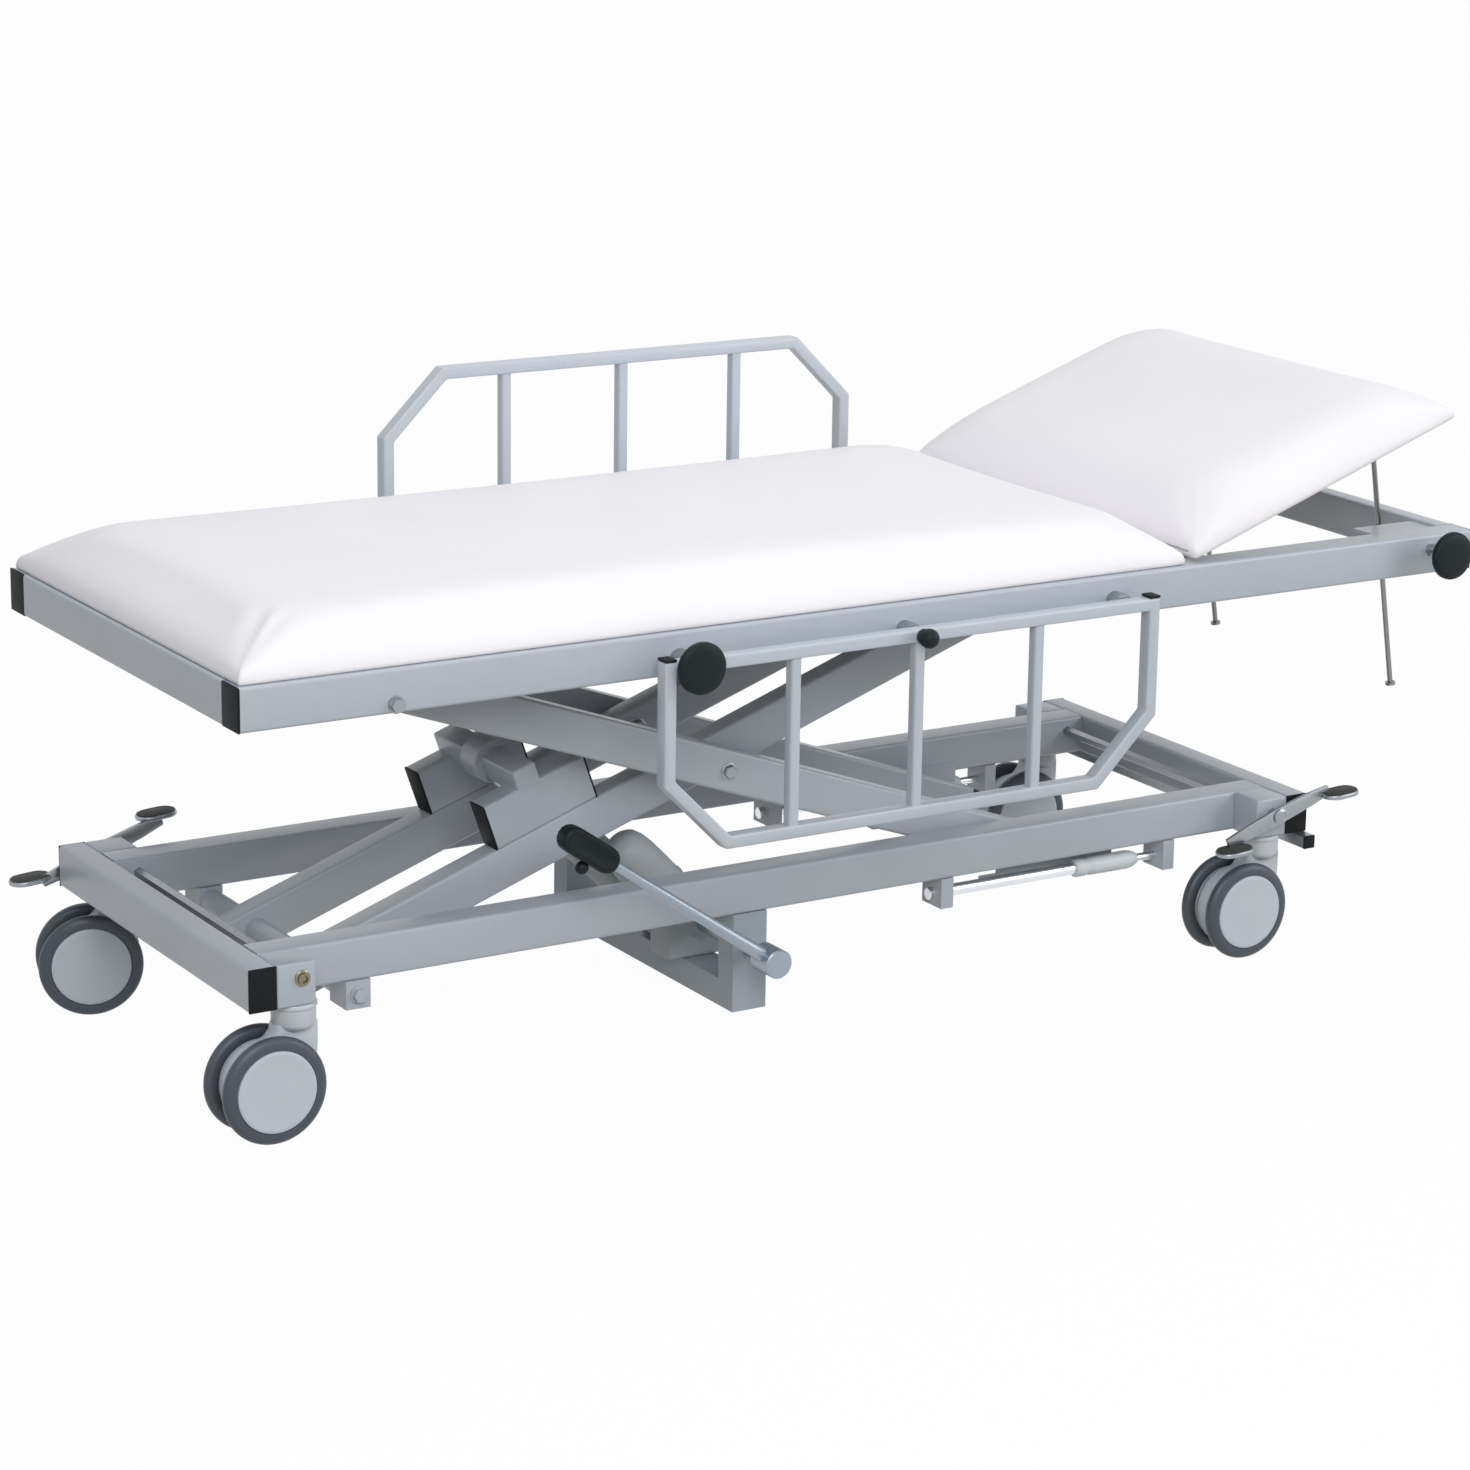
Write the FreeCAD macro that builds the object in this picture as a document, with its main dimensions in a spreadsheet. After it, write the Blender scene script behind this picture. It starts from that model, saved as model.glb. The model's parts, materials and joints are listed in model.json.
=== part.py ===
import FreeCAD, Part
import math
import os
import re
import Sketcher

# Patient transport stretcher: a hydraulic scissor lift carries a tubular bed frame with a
# two part mattress, two swing over guards, a lever pump, braked twin wheel casters and two
# stowed infusion poles.  Lengths are millimetres.  X runs from the foot end to the head end,
# the near side is -Y, Z is up and the floor is Z = 0.
# The hardest feature is the scissor lift with its inclined pump cylinder: see build_arms and
# build_pump.

doc = FreeCAD.newDocument("stretcher")
sheet = doc.addObject("Spreadsheet::Sheet", "dims")

VALUES = {
    "x_centre": 1000.8,
    "frame_length": 2030,
    "frame_half": 380,
    "frame_top": 640,
    "rail_tall": 60,
    "rail_wide": 50,
    "rail_wall": 2.5,
    "cross_wide": 30,
    "cap_thick": 3,
    "base_start": 36,
    "base_end": "=frame_length - 244",
    "base_half": 320,
    "base_top": 244,
    "base_cross_wide": 40,
    "base_rail_face": "=base_half - 58",
    "pivot_x": 221,
    "pivot_low": 164,
    "pivot_high": 592,
    "arm_tall": 60,
    "arm_wide": 40,
    "arm_wall": 2.5,
    "scissor_shift": 21,
    "arm_gap": 7,
    "outer_face": "=base_rail_face - rail_wide - scissor_shift - arm_gap",
    "inner_face": "=outer_face - arm_wide - 24",
    "shaft_radius": 10,
    "bolt_radius": 8,
    "pin_radius": 6,
    "running_gap": 0.05,
    "roller_radius": 20,
    "board_thick": 12,
    "cushion_half": "=frame_half - 2",
    "cushion_side": 28,
    "cushion_tall": 72,
    "cushion_border": 98,
    "hinge_drop": 8,
    "headrest_length": 522,
    "hinge_x": "=frame_length - headrest_length - 9",
    "cushion_length": "=hinge_x - 3",
    "track_end": "=hinge_x + 31",
    "arm_run": "=hinge_x - 64 - pivot_x",
    "roller_x": "=pivot_x + arm_run",
    "headrest_angle": 19.4,
    "strut_y": "=frame_half - 157",
    "strut_radius": 4,
    "strut_length": 417,
    "strut_tilt": 9.2,
    "guard_pivot_x": "=frame_length / 2 - 13",
    "guard_pivot_z": 603,
    "guard_half": 408,
    "guard_drop": 262,
    "guard_bar": 18,
    "guard_depth": 24,
    "guard_face": "=frame_half + 47",
    "guard_corner": 98,
    "guard_knob_x": "=guard_pivot_x - guard_half + 48",
    "knob_radius": 36,
    "ball_radius": 14,
    "head_knob_x": "=frame_length - 81",
    "head_knob_z": 618,
    "wheel_radius": 74,
    "wheel_wide": 24,
    "caster_y": "=base_half - 29",
    "caster_foot_x": "=base_start + 76",
    "caster_head_x": "=base_end - 68",
    "caster_trail": 42,
    "brake_z": 222,
    "brake_flats": 14,
    "cradle_x": "=pivot_x + arm_run / 2 - 23",
    "cradle_wide": 55,
    "cradle_low": 40,
    "pump_x": "=cradle_x + 40",
    "pump_z": 100,
    "tube_along": 377,
    "tube_above": 107,
    "tube_radius": 20,
    "eye_gap": 2.4,
    "lever_x": "=cradle_x + 26",
    "lever_z": 131,
    "lever_angle": 35,
    "lever_length": 310,
    "grip_length": 100,
    "pole_y": "=base_rail_face - 25",
    "pole_z": 157,
    "pole_radius": 9,
}
for row, (alias, value) in enumerate(VALUES.items(), start=1):
    sheet.set("A%d" % row, alias)
    sheet.set("B%d" % row, str(value))
    sheet.setAlias("B%d" % row, alias)
doc.recompute()

NAMES = re.compile(r"\b(" + "|".join(sorted(VALUES, key=len, reverse=True)) + r")\b")
NODES = []


def bound(text):
    """Return the expression with each alias pointed at the sheet."""
    return NAMES.sub(r"dims.\1", str(text))


def number(text):
    """Return the value of an expression of sheet aliases."""
    result = sheet.evalExpression(NAMES.sub(r"\1", str(text)))
    return float(getattr(result, "Value", result))


def place(item, x="0", y="0", z="0", axis=None, angle=None):
    """Bind an object's Placement to expressions."""
    if axis is not None:
        turn = number(angle)
        item.Placement = FreeCAD.Placement(FreeCAD.Vector(), FreeCAD.Rotation(FreeCAD.Vector(*axis), turn))
    item.setExpression("Placement.Base.x", bound(x))
    item.setExpression("Placement.Base.y", bound(y))
    item.setExpression("Placement.Base.z", bound(z))
    return item


def box(x0, x1, y0, y1, z0, z1):
    """A Part::Box between two corners given as expressions."""
    item = doc.addObject("Part::Box", "block")
    item.setExpression("Length", bound("(%s) - (%s)" % (x1, x0)))
    item.setExpression("Width", bound("(%s) - (%s)" % (y1, y0)))
    item.setExpression("Height", bound("(%s) - (%s)" % (z1, z0)))
    return place(item, x0, y0, z0)


def rod(along, a, b, start, end, radius):
    """A Part::Cylinder along X, Y or Z; a and b are the other two coordinates."""
    item = doc.addObject("Part::Cylinder", "round")
    item.setExpression("Radius", bound(radius))
    item.setExpression("Height", bound("(%s) - (%s)" % (end, start)))
    if along == "x":
        return place(item, start, a, b, (0, 1, 0), 90)
    if along == "y":
        return place(item, a, start, b, (1, 0, 0), -90)
    return place(item, a, b, start)


def hexagon(x, z, start, end, flats):
    """A hexagonal prism along Y."""
    item = doc.addObject("Part::Prism", "hexagon")
    item.Polygon = 6
    item.setExpression("Circumradius", bound("(%s) / sqrt(3)" % flats))
    item.setExpression("Height", bound("(%s) - (%s)" % (end, start)))
    return place(item, x, start, z, (1, 0, 0), -90)


def bolt_head(x, z, face):
    """A hexagonal head on its washer, on the near face of a shaft's end."""
    return fuse(rod("y", x, z, "(%s) - 2" % face, face, "12"),
                hexagon(x, z, "(%s) - 9" % face, "(%s) - 2" % face, "17"))


def fuse(*parts):
    """Join solids into one."""
    item = doc.addObject("Part::MultiFuse", "joined")
    item.Shapes = list(parts)
    item.Refine = True
    return item


def cut(base, *tools):
    """Cut one or more tools from a solid."""
    item = doc.addObject("Part::Cut", "cut")
    item.Base = base
    item.Tool = tools[0] if len(tools) == 1 else group(*tools)
    return item


def group(*parts):
    """Hold separate solids together without joining them."""
    item = doc.addObject("Part::Compound", "group")
    item.Links = list(parts)
    return item


def mirrored(part):
    """The same piece on the other side of the stretcher."""
    item = doc.addObject("Part::Mirroring", "mirrored")
    item.Source = part
    item.Normal = FreeCAD.Vector(0, 1, 0)
    return item


def tube_x(x0, x1, y0, y1, z0, z1, wall):
    """A hollow rectangular tube along X, open at both ends."""
    inner = box("(%s) - 1" % x0, "(%s) + 1" % x1, "(%s) + %s" % (y0, wall), "(%s) - %s" % (y1, wall),
                "(%s) + %s" % (z0, wall), "(%s) - %s" % (z1, wall))
    return cut(box(x0, x1, y0, y1, z0, z1), inner)


def tube_y(x0, x1, y0, y1, z0, z1, wall):
    """A hollow rectangular tube along Y, open at both ends."""
    inner = box("(%s) + %s" % (x0, wall), "(%s) - %s" % (x1, wall), "(%s) - 1" % y0, "(%s) + 1" % y1,
                "(%s) + %s" % (z0, wall), "(%s) - %s" % (z1, wall))
    return cut(box(x0, x1, y0, y1, z0, z1), inner)


def outline(body, role, loops):
    """A sketch of closed polygons on an origin plane, each corner bound to expressions."""
    sketch = body.newObject("Sketcher::SketchObject", "outline")
    plane = [item for item in body.Origin.OriginFeatures if item.Role == role][0]
    sketch.AttachmentSupport = [(plane, "")]
    sketch.MapMode = "FlatFace"
    for loop in loops:
        first = sketch.GeometryCount
        spots = [FreeCAD.Vector(number(a), number(b), 0) for a, b in loop]
        for index, spot in enumerate(spots):
            sketch.addGeometry(Part.LineSegment(spot, spots[(index + 1) % len(spots)]), False)
        for index in range(len(spots)):
            following = first + (index + 1) % len(spots)
            sketch.addConstraint(Sketcher.Constraint("Coincident", first + index, 2, following, 1))
        for index, (a, b) in enumerate(loop):
            pin_corner(sketch, first + index, "DistanceX", a)
            pin_corner(sketch, first + index, "DistanceY", b)
    return sketch


def pin_corner(sketch, line, kind, text):
    """Fix one coordinate of a line's start point to an expression."""
    value = number(text)
    if abs(value) < 1e-9:
        sketch.addConstraint(Sketcher.Constraint("PointOnObject", line, 1, -2 if kind == "DistanceX" else -1))
        return
    if value > 0:
        index = sketch.addConstraint(Sketcher.Constraint(kind, -1, 1, line, 1, value))
        sketch.setExpression("Constraints[%d]" % index, bound(text))
    else:
        index = sketch.addConstraint(Sketcher.Constraint(kind, line, 1, -1, 1, -value))
        sketch.setExpression("Constraints[%d]" % index, bound("-(%s)" % text))


def padded(role, loops, depth, reverse=False):
    """A PartDesign body made by one pad of a polygon sketch."""
    body = doc.addObject("PartDesign::Body", "padded")
    sketch = outline(body, role, loops)
    pad = body.newObject("PartDesign::Pad", "pad")
    pad.Profile = sketch
    pad.Reversed = reverse
    pad.setExpression("Length", bound(depth))
    body.Tip = pad
    doc.recompute()
    return body


def turned(loop):
    """A PartDesign body made by turning a profile, given as (radius, along), about Z."""
    body = doc.addObject("PartDesign::Body", "turned")
    sketch = outline(body, "XZ_Plane", [loop])
    turn = body.newObject("PartDesign::Revolution", "turn")
    turn.Profile = sketch
    turn.ReferenceAxis = (sketch, ["V_Axis"])
    turn.Angle = 360
    body.Tip = turn
    doc.recompute()
    return body


def moved(part, x="0", y="0", z="0", axis=None, angle=None):
    """A placed copy of a piece."""
    return place(group(part), x, y, z, axis, angle)


def lofted(low, high, z0, z1):
    """A PartDesign loft between two rectangles given as (x0, x1, half width)."""
    body = doc.addObject("PartDesign::Body", "lofted")
    sketches = []
    for (x0, x1, half), level in ((low, z0), (high, z1)):
        corners = [(x0, "-(%s)" % half), (x1, "-(%s)" % half), (x1, half), (x0, half)]
        sketch = outline(body, "XY_Plane", [corners])
        sketch.setExpression("AttachmentOffset.Base.z", bound(level))
        sketches.append(sketch)
    doc.recompute()
    loft = body.newObject("PartDesign::AdditiveLoft", "loft")
    loft.Profile = sketches[0]
    loft.Sections = [sketches[1]]
    loft.Ruled = True
    body.Tip = loft
    doc.recompute()
    return body


def node(label, part, x="0", y="0", z="0", axis=None, angle=None):
    """Name a finished sub-part and place it with the floor under the model's middle."""
    item = group(part)
    item.Label = label
    place(item, "(%s) - x_centre" % x, y, z, axis, angle)
    NODES.append(item)
    return item


def both(part):
    """A piece and its mirror image as one group."""
    return group(part, mirrored(part))


LOW = "frame_top - rail_tall"
RUN = "arm_run"
ARM = "sqrt(arm_run^2 + (pivot_high - pivot_low)^2)"
TILT = "atan2(pivot_high - pivot_low; arm_run)"


def build_upper_frame():
    """Rails, crossbars, end caps, roller tracks and the shaft the outer arms hang on."""
    inside = "rail_wide - frame_half"
    rail = tube_x("cap_thick", "frame_length - cap_thick", "-frame_half", inside, LOW, "frame_top",
                  "rail_wall")
    bore = rod("y", "pivot_x", "pivot_high", "-frame_half - 1", inside + " + 1", "shaft_radius")
    node("upper_rails", both(cut(rail, bore)))
    bars = []
    for start in ("0", "guard_pivot_x - guard_half + 1", "track_end - 326", "track_end",
                  "frame_length - cross_wide"):
        bars.append(tube_y(start, "%s + cross_wide" % start, inside, "frame_half - rail_wide", LOW,
                           "frame_top", "rail_wall"))
    node("upper_crossbars", group(*bars))
    caps = []
    for start in ("0", "frame_length - cap_thick"):
        caps.append(box(start, "%s + cap_thick" % start, "-frame_half", inside, LOW, "frame_top"))
    node("upper_end_caps", both(group(*caps)))
    track = tube_x("track_end - 326 + cross_wide", "track_end", "-inner_face - 2", "arm_wide - inner_face + 2",
                   "pivot_high + roller_radius", "frame_top - 4", "3")
    node("upper_tracks", both(track), "0", "-scissor_shift")
    shaft = rod("y", "pivot_x", "pivot_high", "-frame_half", "frame_half", "shaft_radius")
    near = rod("y", "pivot_x", "pivot_high", inside, "-outer_face - scissor_shift - 0.3", "15")
    far = rod("y", "pivot_x", "pivot_high", "outer_face - scissor_shift + 0.3",
              "frame_half - rail_wide", "15")
    head = bolt_head("pivot_x", "pivot_high", "-frame_half")
    node("upper_pivot_shaft", fuse(shaft, near, far, head, mirrored(head)))


def build_head_brackets():
    """Slotted guides for the struts, corner plates and the fixed ears of the headrest hinge."""
    end = "frame_length - cross_wide"
    plate = box(end + " - 38", end, "-strut_y - 20", "20 - strut_y", "612", "616")
    slot = [rod("z", end + " - 29", "-strut_y", "611", "617", "strut_radius + 0.7"),
            rod("z", end + " - 19", "-strut_y", "611", "617", "strut_radius + 0.7"),
            box(end + " - 29", end + " - 19", "-strut_y - strut_radius - 0.7",
                "strut_radius + 0.7 - strut_y", "611", "617")]
    guide = cut(plate, fuse(*slot))
    corner = box(end + " - 115", end, "rail_wide - frame_half", "rail_wide + 55 - frame_half", "632", "636")
    ears = []
    for y0 in ("80 - frame_half", "110 - frame_half"):
        ear = box("hinge_x - 10", "track_end", y0, y0 + " + 10", "612", "frame_top - 0.5")
        bore = rod("y", "hinge_x", "frame_top - hinge_drop", y0 + " - 1", y0 + " + 11",
                   "4 + running_gap")
        ears.append(cut(ear, bore))
    node("head_brackets", both(group(guide, corner, *ears)))


def build_guard_fixings():
    """The bush each guard turns on, its two threaded sockets and the head knob's stud."""
    inner = "guard_depth - guard_face"
    bush = rod("y", "guard_pivot_x", "guard_pivot_z", inner + " + 0.3", "-frame_half", "13")
    journal = rod("y", "guard_pivot_x", "guard_pivot_z", "-guard_face - 0.3", "-frame_half", "7")
    collar = rod("y", "guard_pivot_x", "guard_pivot_z", "-guard_face - 2.5", "-guard_face - 0.3", "11")
    bore = rod("y", "guard_pivot_x", "guard_pivot_z", "-guard_face - 3", "-frame_half - 12",
               "3 + running_gap")
    pieces = [cut(fuse(bush, journal, collar), bore)]
    for spot in ("guard_knob_x", "2 * guard_pivot_x - guard_knob_x"):
        pieces.append(rod("y", spot, "guard_pivot_z", inner + " + 0.5", "-frame_half", "15"))
    nut = hexagon("head_knob_x", "head_knob_z", "-frame_half - 7", "-frame_half", "17")
    stud = rod("y", "head_knob_x", "head_knob_z", "-frame_half - 38", "-frame_half", "5")
    pieces.append(fuse(nut, stud))
    node("guard_fixings", both(group(*pieces)))


def cushion_solid(x0, x1, slope):
    """A crowned upholstery solid over a board pocket, in the board's own frame."""
    base = padded("XZ_Plane", [[(x0, "0.3"), (x1, "0.3"), (x1, "cushion_side"),
                                ("%s + %s" % (x0, slope), "cushion_side")]], "2 * cushion_half")
    base = moved(base, "0", "cushion_half", "0")
    low = ("%s + %s" % (x0, slope), x1, "cushion_half")
    high = ("%s + cushion_border + %s" % (x0, slope), "%s - cushion_border" % x1,
            "cushion_half - cushion_border")
    crown = lofted(low, high, "cushion_side", "cushion_tall")
    pocket = box("%s + 9.7" % x0, "%s - 9.7" % x1, "11.7 - cushion_half", "cushion_half - 11.7", "-1",
                 "board_thick + 0.3")
    return cut(fuse(base, crown), pocket)


def build_mattress():
    """The main board and cushion, lying on the rails."""
    board = box("12", "cushion_length - 8", "12 - cushion_half", "cushion_half - 12", "0", "board_thick")
    node("mattress_board", board, "0", "0", "frame_top")
    node("mattress", cushion_solid("2", "cushion_length + 2", "0.01"), "0", "0", "frame_top")


def build_headrest():
    """The raised headrest about its hinge, and the two sliding struts that hold it."""
    spot = ("hinge_x", "0", "frame_top - hinge_drop", (0, -1, 0), "headrest_angle")
    end = "8 + headrest_length"
    board = box("18", end + " - 10", "12 - cushion_half", "cushion_half - 12", "0", "board_thick")
    node("headrest_board", moved(board, "0", "0", "hinge_drop"), *spot)
    cushion = moved(cushion_solid("8", end, "22"), "0", "0", "hinge_drop")
    node("headrest", cushion, *spot)
    knuckle = fuse(box("-8", "26", "90.3 - frame_half", "109.7 - frame_half", "-8", "6"),
                   box("18", "26", "90.3 - frame_half", "109.7 - frame_half", "5", "hinge_drop"),
                   rod("y", "0", "0", "80 - frame_half", "120 - frame_half", "4"))
    lug = fuse(box("headrest_length - 55", "headrest_length - 35", "-strut_y - 10", "-strut_y - 5", "-15.5", "hinge_drop"),
               rod("y", "headrest_length - 45", "-12", "-strut_y - 10", "6 - strut_y", "3"))
    node("headrest_brackets", both(group(knuckle, lug)), *spot)
    eye = cut(rod("y", "0", "0", "-strut_y - 4.6", "4.6 - strut_y", "7"),
              rod("y", "0", "0", "-strut_y - 5", "5 - strut_y", "3 + running_gap"))
    stem = rod("z", "0", "-strut_y", "-strut_length", "-5", "strut_radius")
    foot = rod("z", "0", "-strut_y", "-strut_length - 4", "-strut_length", "8")
    turn = math.radians(number("headrest_angle"))
    out = number("headrest_length - 45")
    pin_x = number("hinge_x") + out * math.cos(turn) + 12 * math.sin(turn)
    pin_z = number("frame_top - hinge_drop") + out * math.sin(turn) - 12 * math.cos(turn)
    node("support_struts", both(fuse(eye, stem, foot)), "%.6f" % pin_x, "0", "%.6f" % pin_z,
         (0, -1, 0), "strut_tilt")


def guard_pieces():
    """One near guard hanging from its pivot, in the pivot's own frame."""
    half = "guard_half"
    low = "-guard_drop"
    bar = "guard_bar"
    bend = "guard_corner"
    lean = "guard_bar * 0.42"
    outer = [("-%s" % half, "9"), ("-%s" % half, "%s + %s" % (low, bend)),
             ("%s - %s" % (bend, half), low), ("%s - %s" % (half, bend), low),
             (half, "%s + %s" % (low, bend)), (half, "9")]
    inner = [("%s - %s" % (bar, half), "-9"),
             ("%s - %s" % (bar, half), "%s + %s + %s" % (low, bend, lean)),
             ("%s - %s + %s" % (bend, half, lean), "%s + %s" % (low, bar)),
             ("%s - %s - %s" % (half, bend, lean), "%s + %s" % (low, bar)),
             ("%s - %s" % (half, bar), "%s + %s + %s" % (low, bend, lean)),
             ("%s - %s" % (half, bar), "-9")]
    ring = moved(padded("XZ_Plane", [outer, inner], "guard_depth"), "0", "guard_depth - guard_face", "0")
    bars = []
    for middle in ("-201", "0", "201"):
        bars.append(box("%s - 8" % middle, "%s + 8" % middle, "3 - guard_face", "21 - guard_face",
                        "%s + %s - 1" % (low, bar), "-8"))
    frame = fuse(ring, *bars)
    bores = [rod("y", "0", "0", "-guard_face - 1", "guard_depth - guard_face + 1", "7 + running_gap"),
             rod("y", "guard_knob_x - guard_pivot_x", "0", "-guard_face - 1",
                 "guard_depth - guard_face + 1", "4 + running_gap")]
    frame = cut(frame, *bores)
    plugs = []
    for x0 in ("-guard_half", "guard_half - guard_bar"):
        plugs.append(box(x0, x0 + " + guard_bar", "-guard_face", "guard_depth - guard_face", "9", "13"))
    return frame, group(*plugs)


def knob_solid(stem):
    """A round domed knob with its stem, turned about Z with the stem pointing down."""
    return turned([("0", "-(%s)" % stem), ("4", "-(%s)" % stem), ("4", "0"), ("12", "0"), ("12", "5"),
                   ("knob_radius - 3", "5"), ("knob_radius", "8"), ("knob_radius", "15"),
                   ("knob_radius - 5", "19"), ("0", "21")])


def build_guards():
    """The near guard hangs down; the far guard stands up, turned half round its pivot."""
    frame, plugs = guard_pieces()
    knob = moved(knob_solid("guard_depth - 1"), "guard_knob_x - guard_pivot_x", "-guard_face - 0.3", "0",
                 (1, 0, 0), 90)
    ball = fuse(place(sphere("ball_radius"), "0", "-guard_face - 2.5 - ball_radius", "0"),
                rod("y", "0", "0", "-guard_face - 6", "guard_depth - guard_face + 10", "3"))
    spot = ("guard_pivot_x", "0", "guard_pivot_z")
    for side in ("near", "far"):
        for label, piece in (("guard", frame), ("guard_plugs", plugs), ("guard_knob", knob),
                             ("guard_ball", ball)):
            if side == "near":
                node("%s_%s" % (label, side), piece, *spot)
            else:
                node("%s_%s" % (label, side), mirrored(piece), *spot, (0, 1, 0), 180)
    head = moved(knob_solid("0.3"), "head_knob_x", "-frame_half - 38.3", "head_knob_z", (1, 0, 0), 90)
    node("head_knob_near", head)
    node("head_knob_far", mirrored(head))


def sphere(radius):
    """A Part::Sphere."""
    item = doc.addObject("Part::Sphere", "ball")
    item.setExpression("Radius", bound(radius))
    return item


def arm_solid(face, middle_bore, side):
    """One scissor arm along X from its pivot; its far end is cut away on the track's side."""
    y0 = "-(%s)" % face
    y1 = "arm_wide - %s" % face
    shell = tube_x("-35", ARM + " + 35", y0, y1, "-arm_tall / 2", "arm_tall / 2", "arm_wall")
    relief = [(ARM + " - 36", "31"), (ARM + " - 10", "18.5"), (ARM + " + 10", "16"),
              (ARM + " + 36", "1"), (ARM + " + 36", "31")]
    relief = padded("XZ_Plane", [[(a, "%s * %s" % (side, b)) for a, b in relief]], "arm_wide + 2")
    bores = [rod("y", "0", "0", y0 + " - 1", y1 + " + 1", "shaft_radius + running_gap"),
             rod("y", ARM + " / 2", "0", y0 + " - 1", y1 + " + 1", middle_bore),
             rod("y", ARM, "0", y0 + " - 1", y1 + " + 1", "pin_radius + running_gap")]
    return cut(shell, moved(relief, "0", y1 + " + 1"), *bores)


def roller_solid(face):
    """A track roller with its pin, inside the far end of an arm."""
    return fuse(rod("y", ARM, "0", "5 - %s" % face, "arm_wide - %s - 5" % face, "roller_radius"),
                rod("y", ARM, "0", "-2 - %s" % face, "arm_wide - %s + 2" % face, "pin_radius"))


def build_arms():
    """The scissor: inner arms rise from the base pivot, outer arms drop from the bed pivot."""
    rise = ("pivot_x", "-scissor_shift", "pivot_low", (0, -1, 0), TILT)
    fall = ("pivot_x", "-scissor_shift", "pivot_high", (0, 1, 0), TILT)
    inner = arm_solid("inner_face", "bolt_radius + running_gap", "1")
    node("inner_arms", both(inner), *rise)
    node("outer_arms", both(arm_solid("outer_face", "bolt_radius", "-1")), *fall)
    node("upper_rollers", both(roller_solid("inner_face")), *rise)
    node("lower_rollers", both(roller_solid("outer_face")), *fall)
    y0 = "-inner_face"
    y1 = "arm_wide - inner_face"
    stub = cut(box("303", "466", y0, y1, "arm_tall / 2", "98"),
               box("302", "467", y0 + " + arm_wall", y1 + " - arm_wall", "arm_tall / 2 + arm_wall",
                   "98 - arm_wall"),
               rod("y", "tube_along", "tube_above", y0 + " - 1", y1 + " + 1", "tube_radius"))
    node("arm_stubs", both(stub), *rise)
    caps = []
    for start in ("300", "466"):
        caps.append(box(start, start + " + 3", y0, y1, "arm_tall / 2", "98"))
    node("stub_caps", both(group(*caps)), *rise)
    node("lift_crosstube", rod("y", "tube_along", "tube_above", y0, "inner_face", "tube_radius"), *rise)
    bolt = fuse(rod("y", ARM + " / 2", "0", "-outer_face", y1 + " + 12", "bolt_radius"),
                hexagon(ARM + " / 2", "0", "-outer_face - 9", "-outer_face", "24"),
                rod("y", ARM + " / 2", "0", "arm_wide - outer_face", "-inner_face - 0.3", "14"),
                hexagon(ARM + " / 2", "0", y1 + " + 0.3", y1 + " + 12", "24"))
    node("centre_bolts", both(bolt), *fall)


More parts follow.
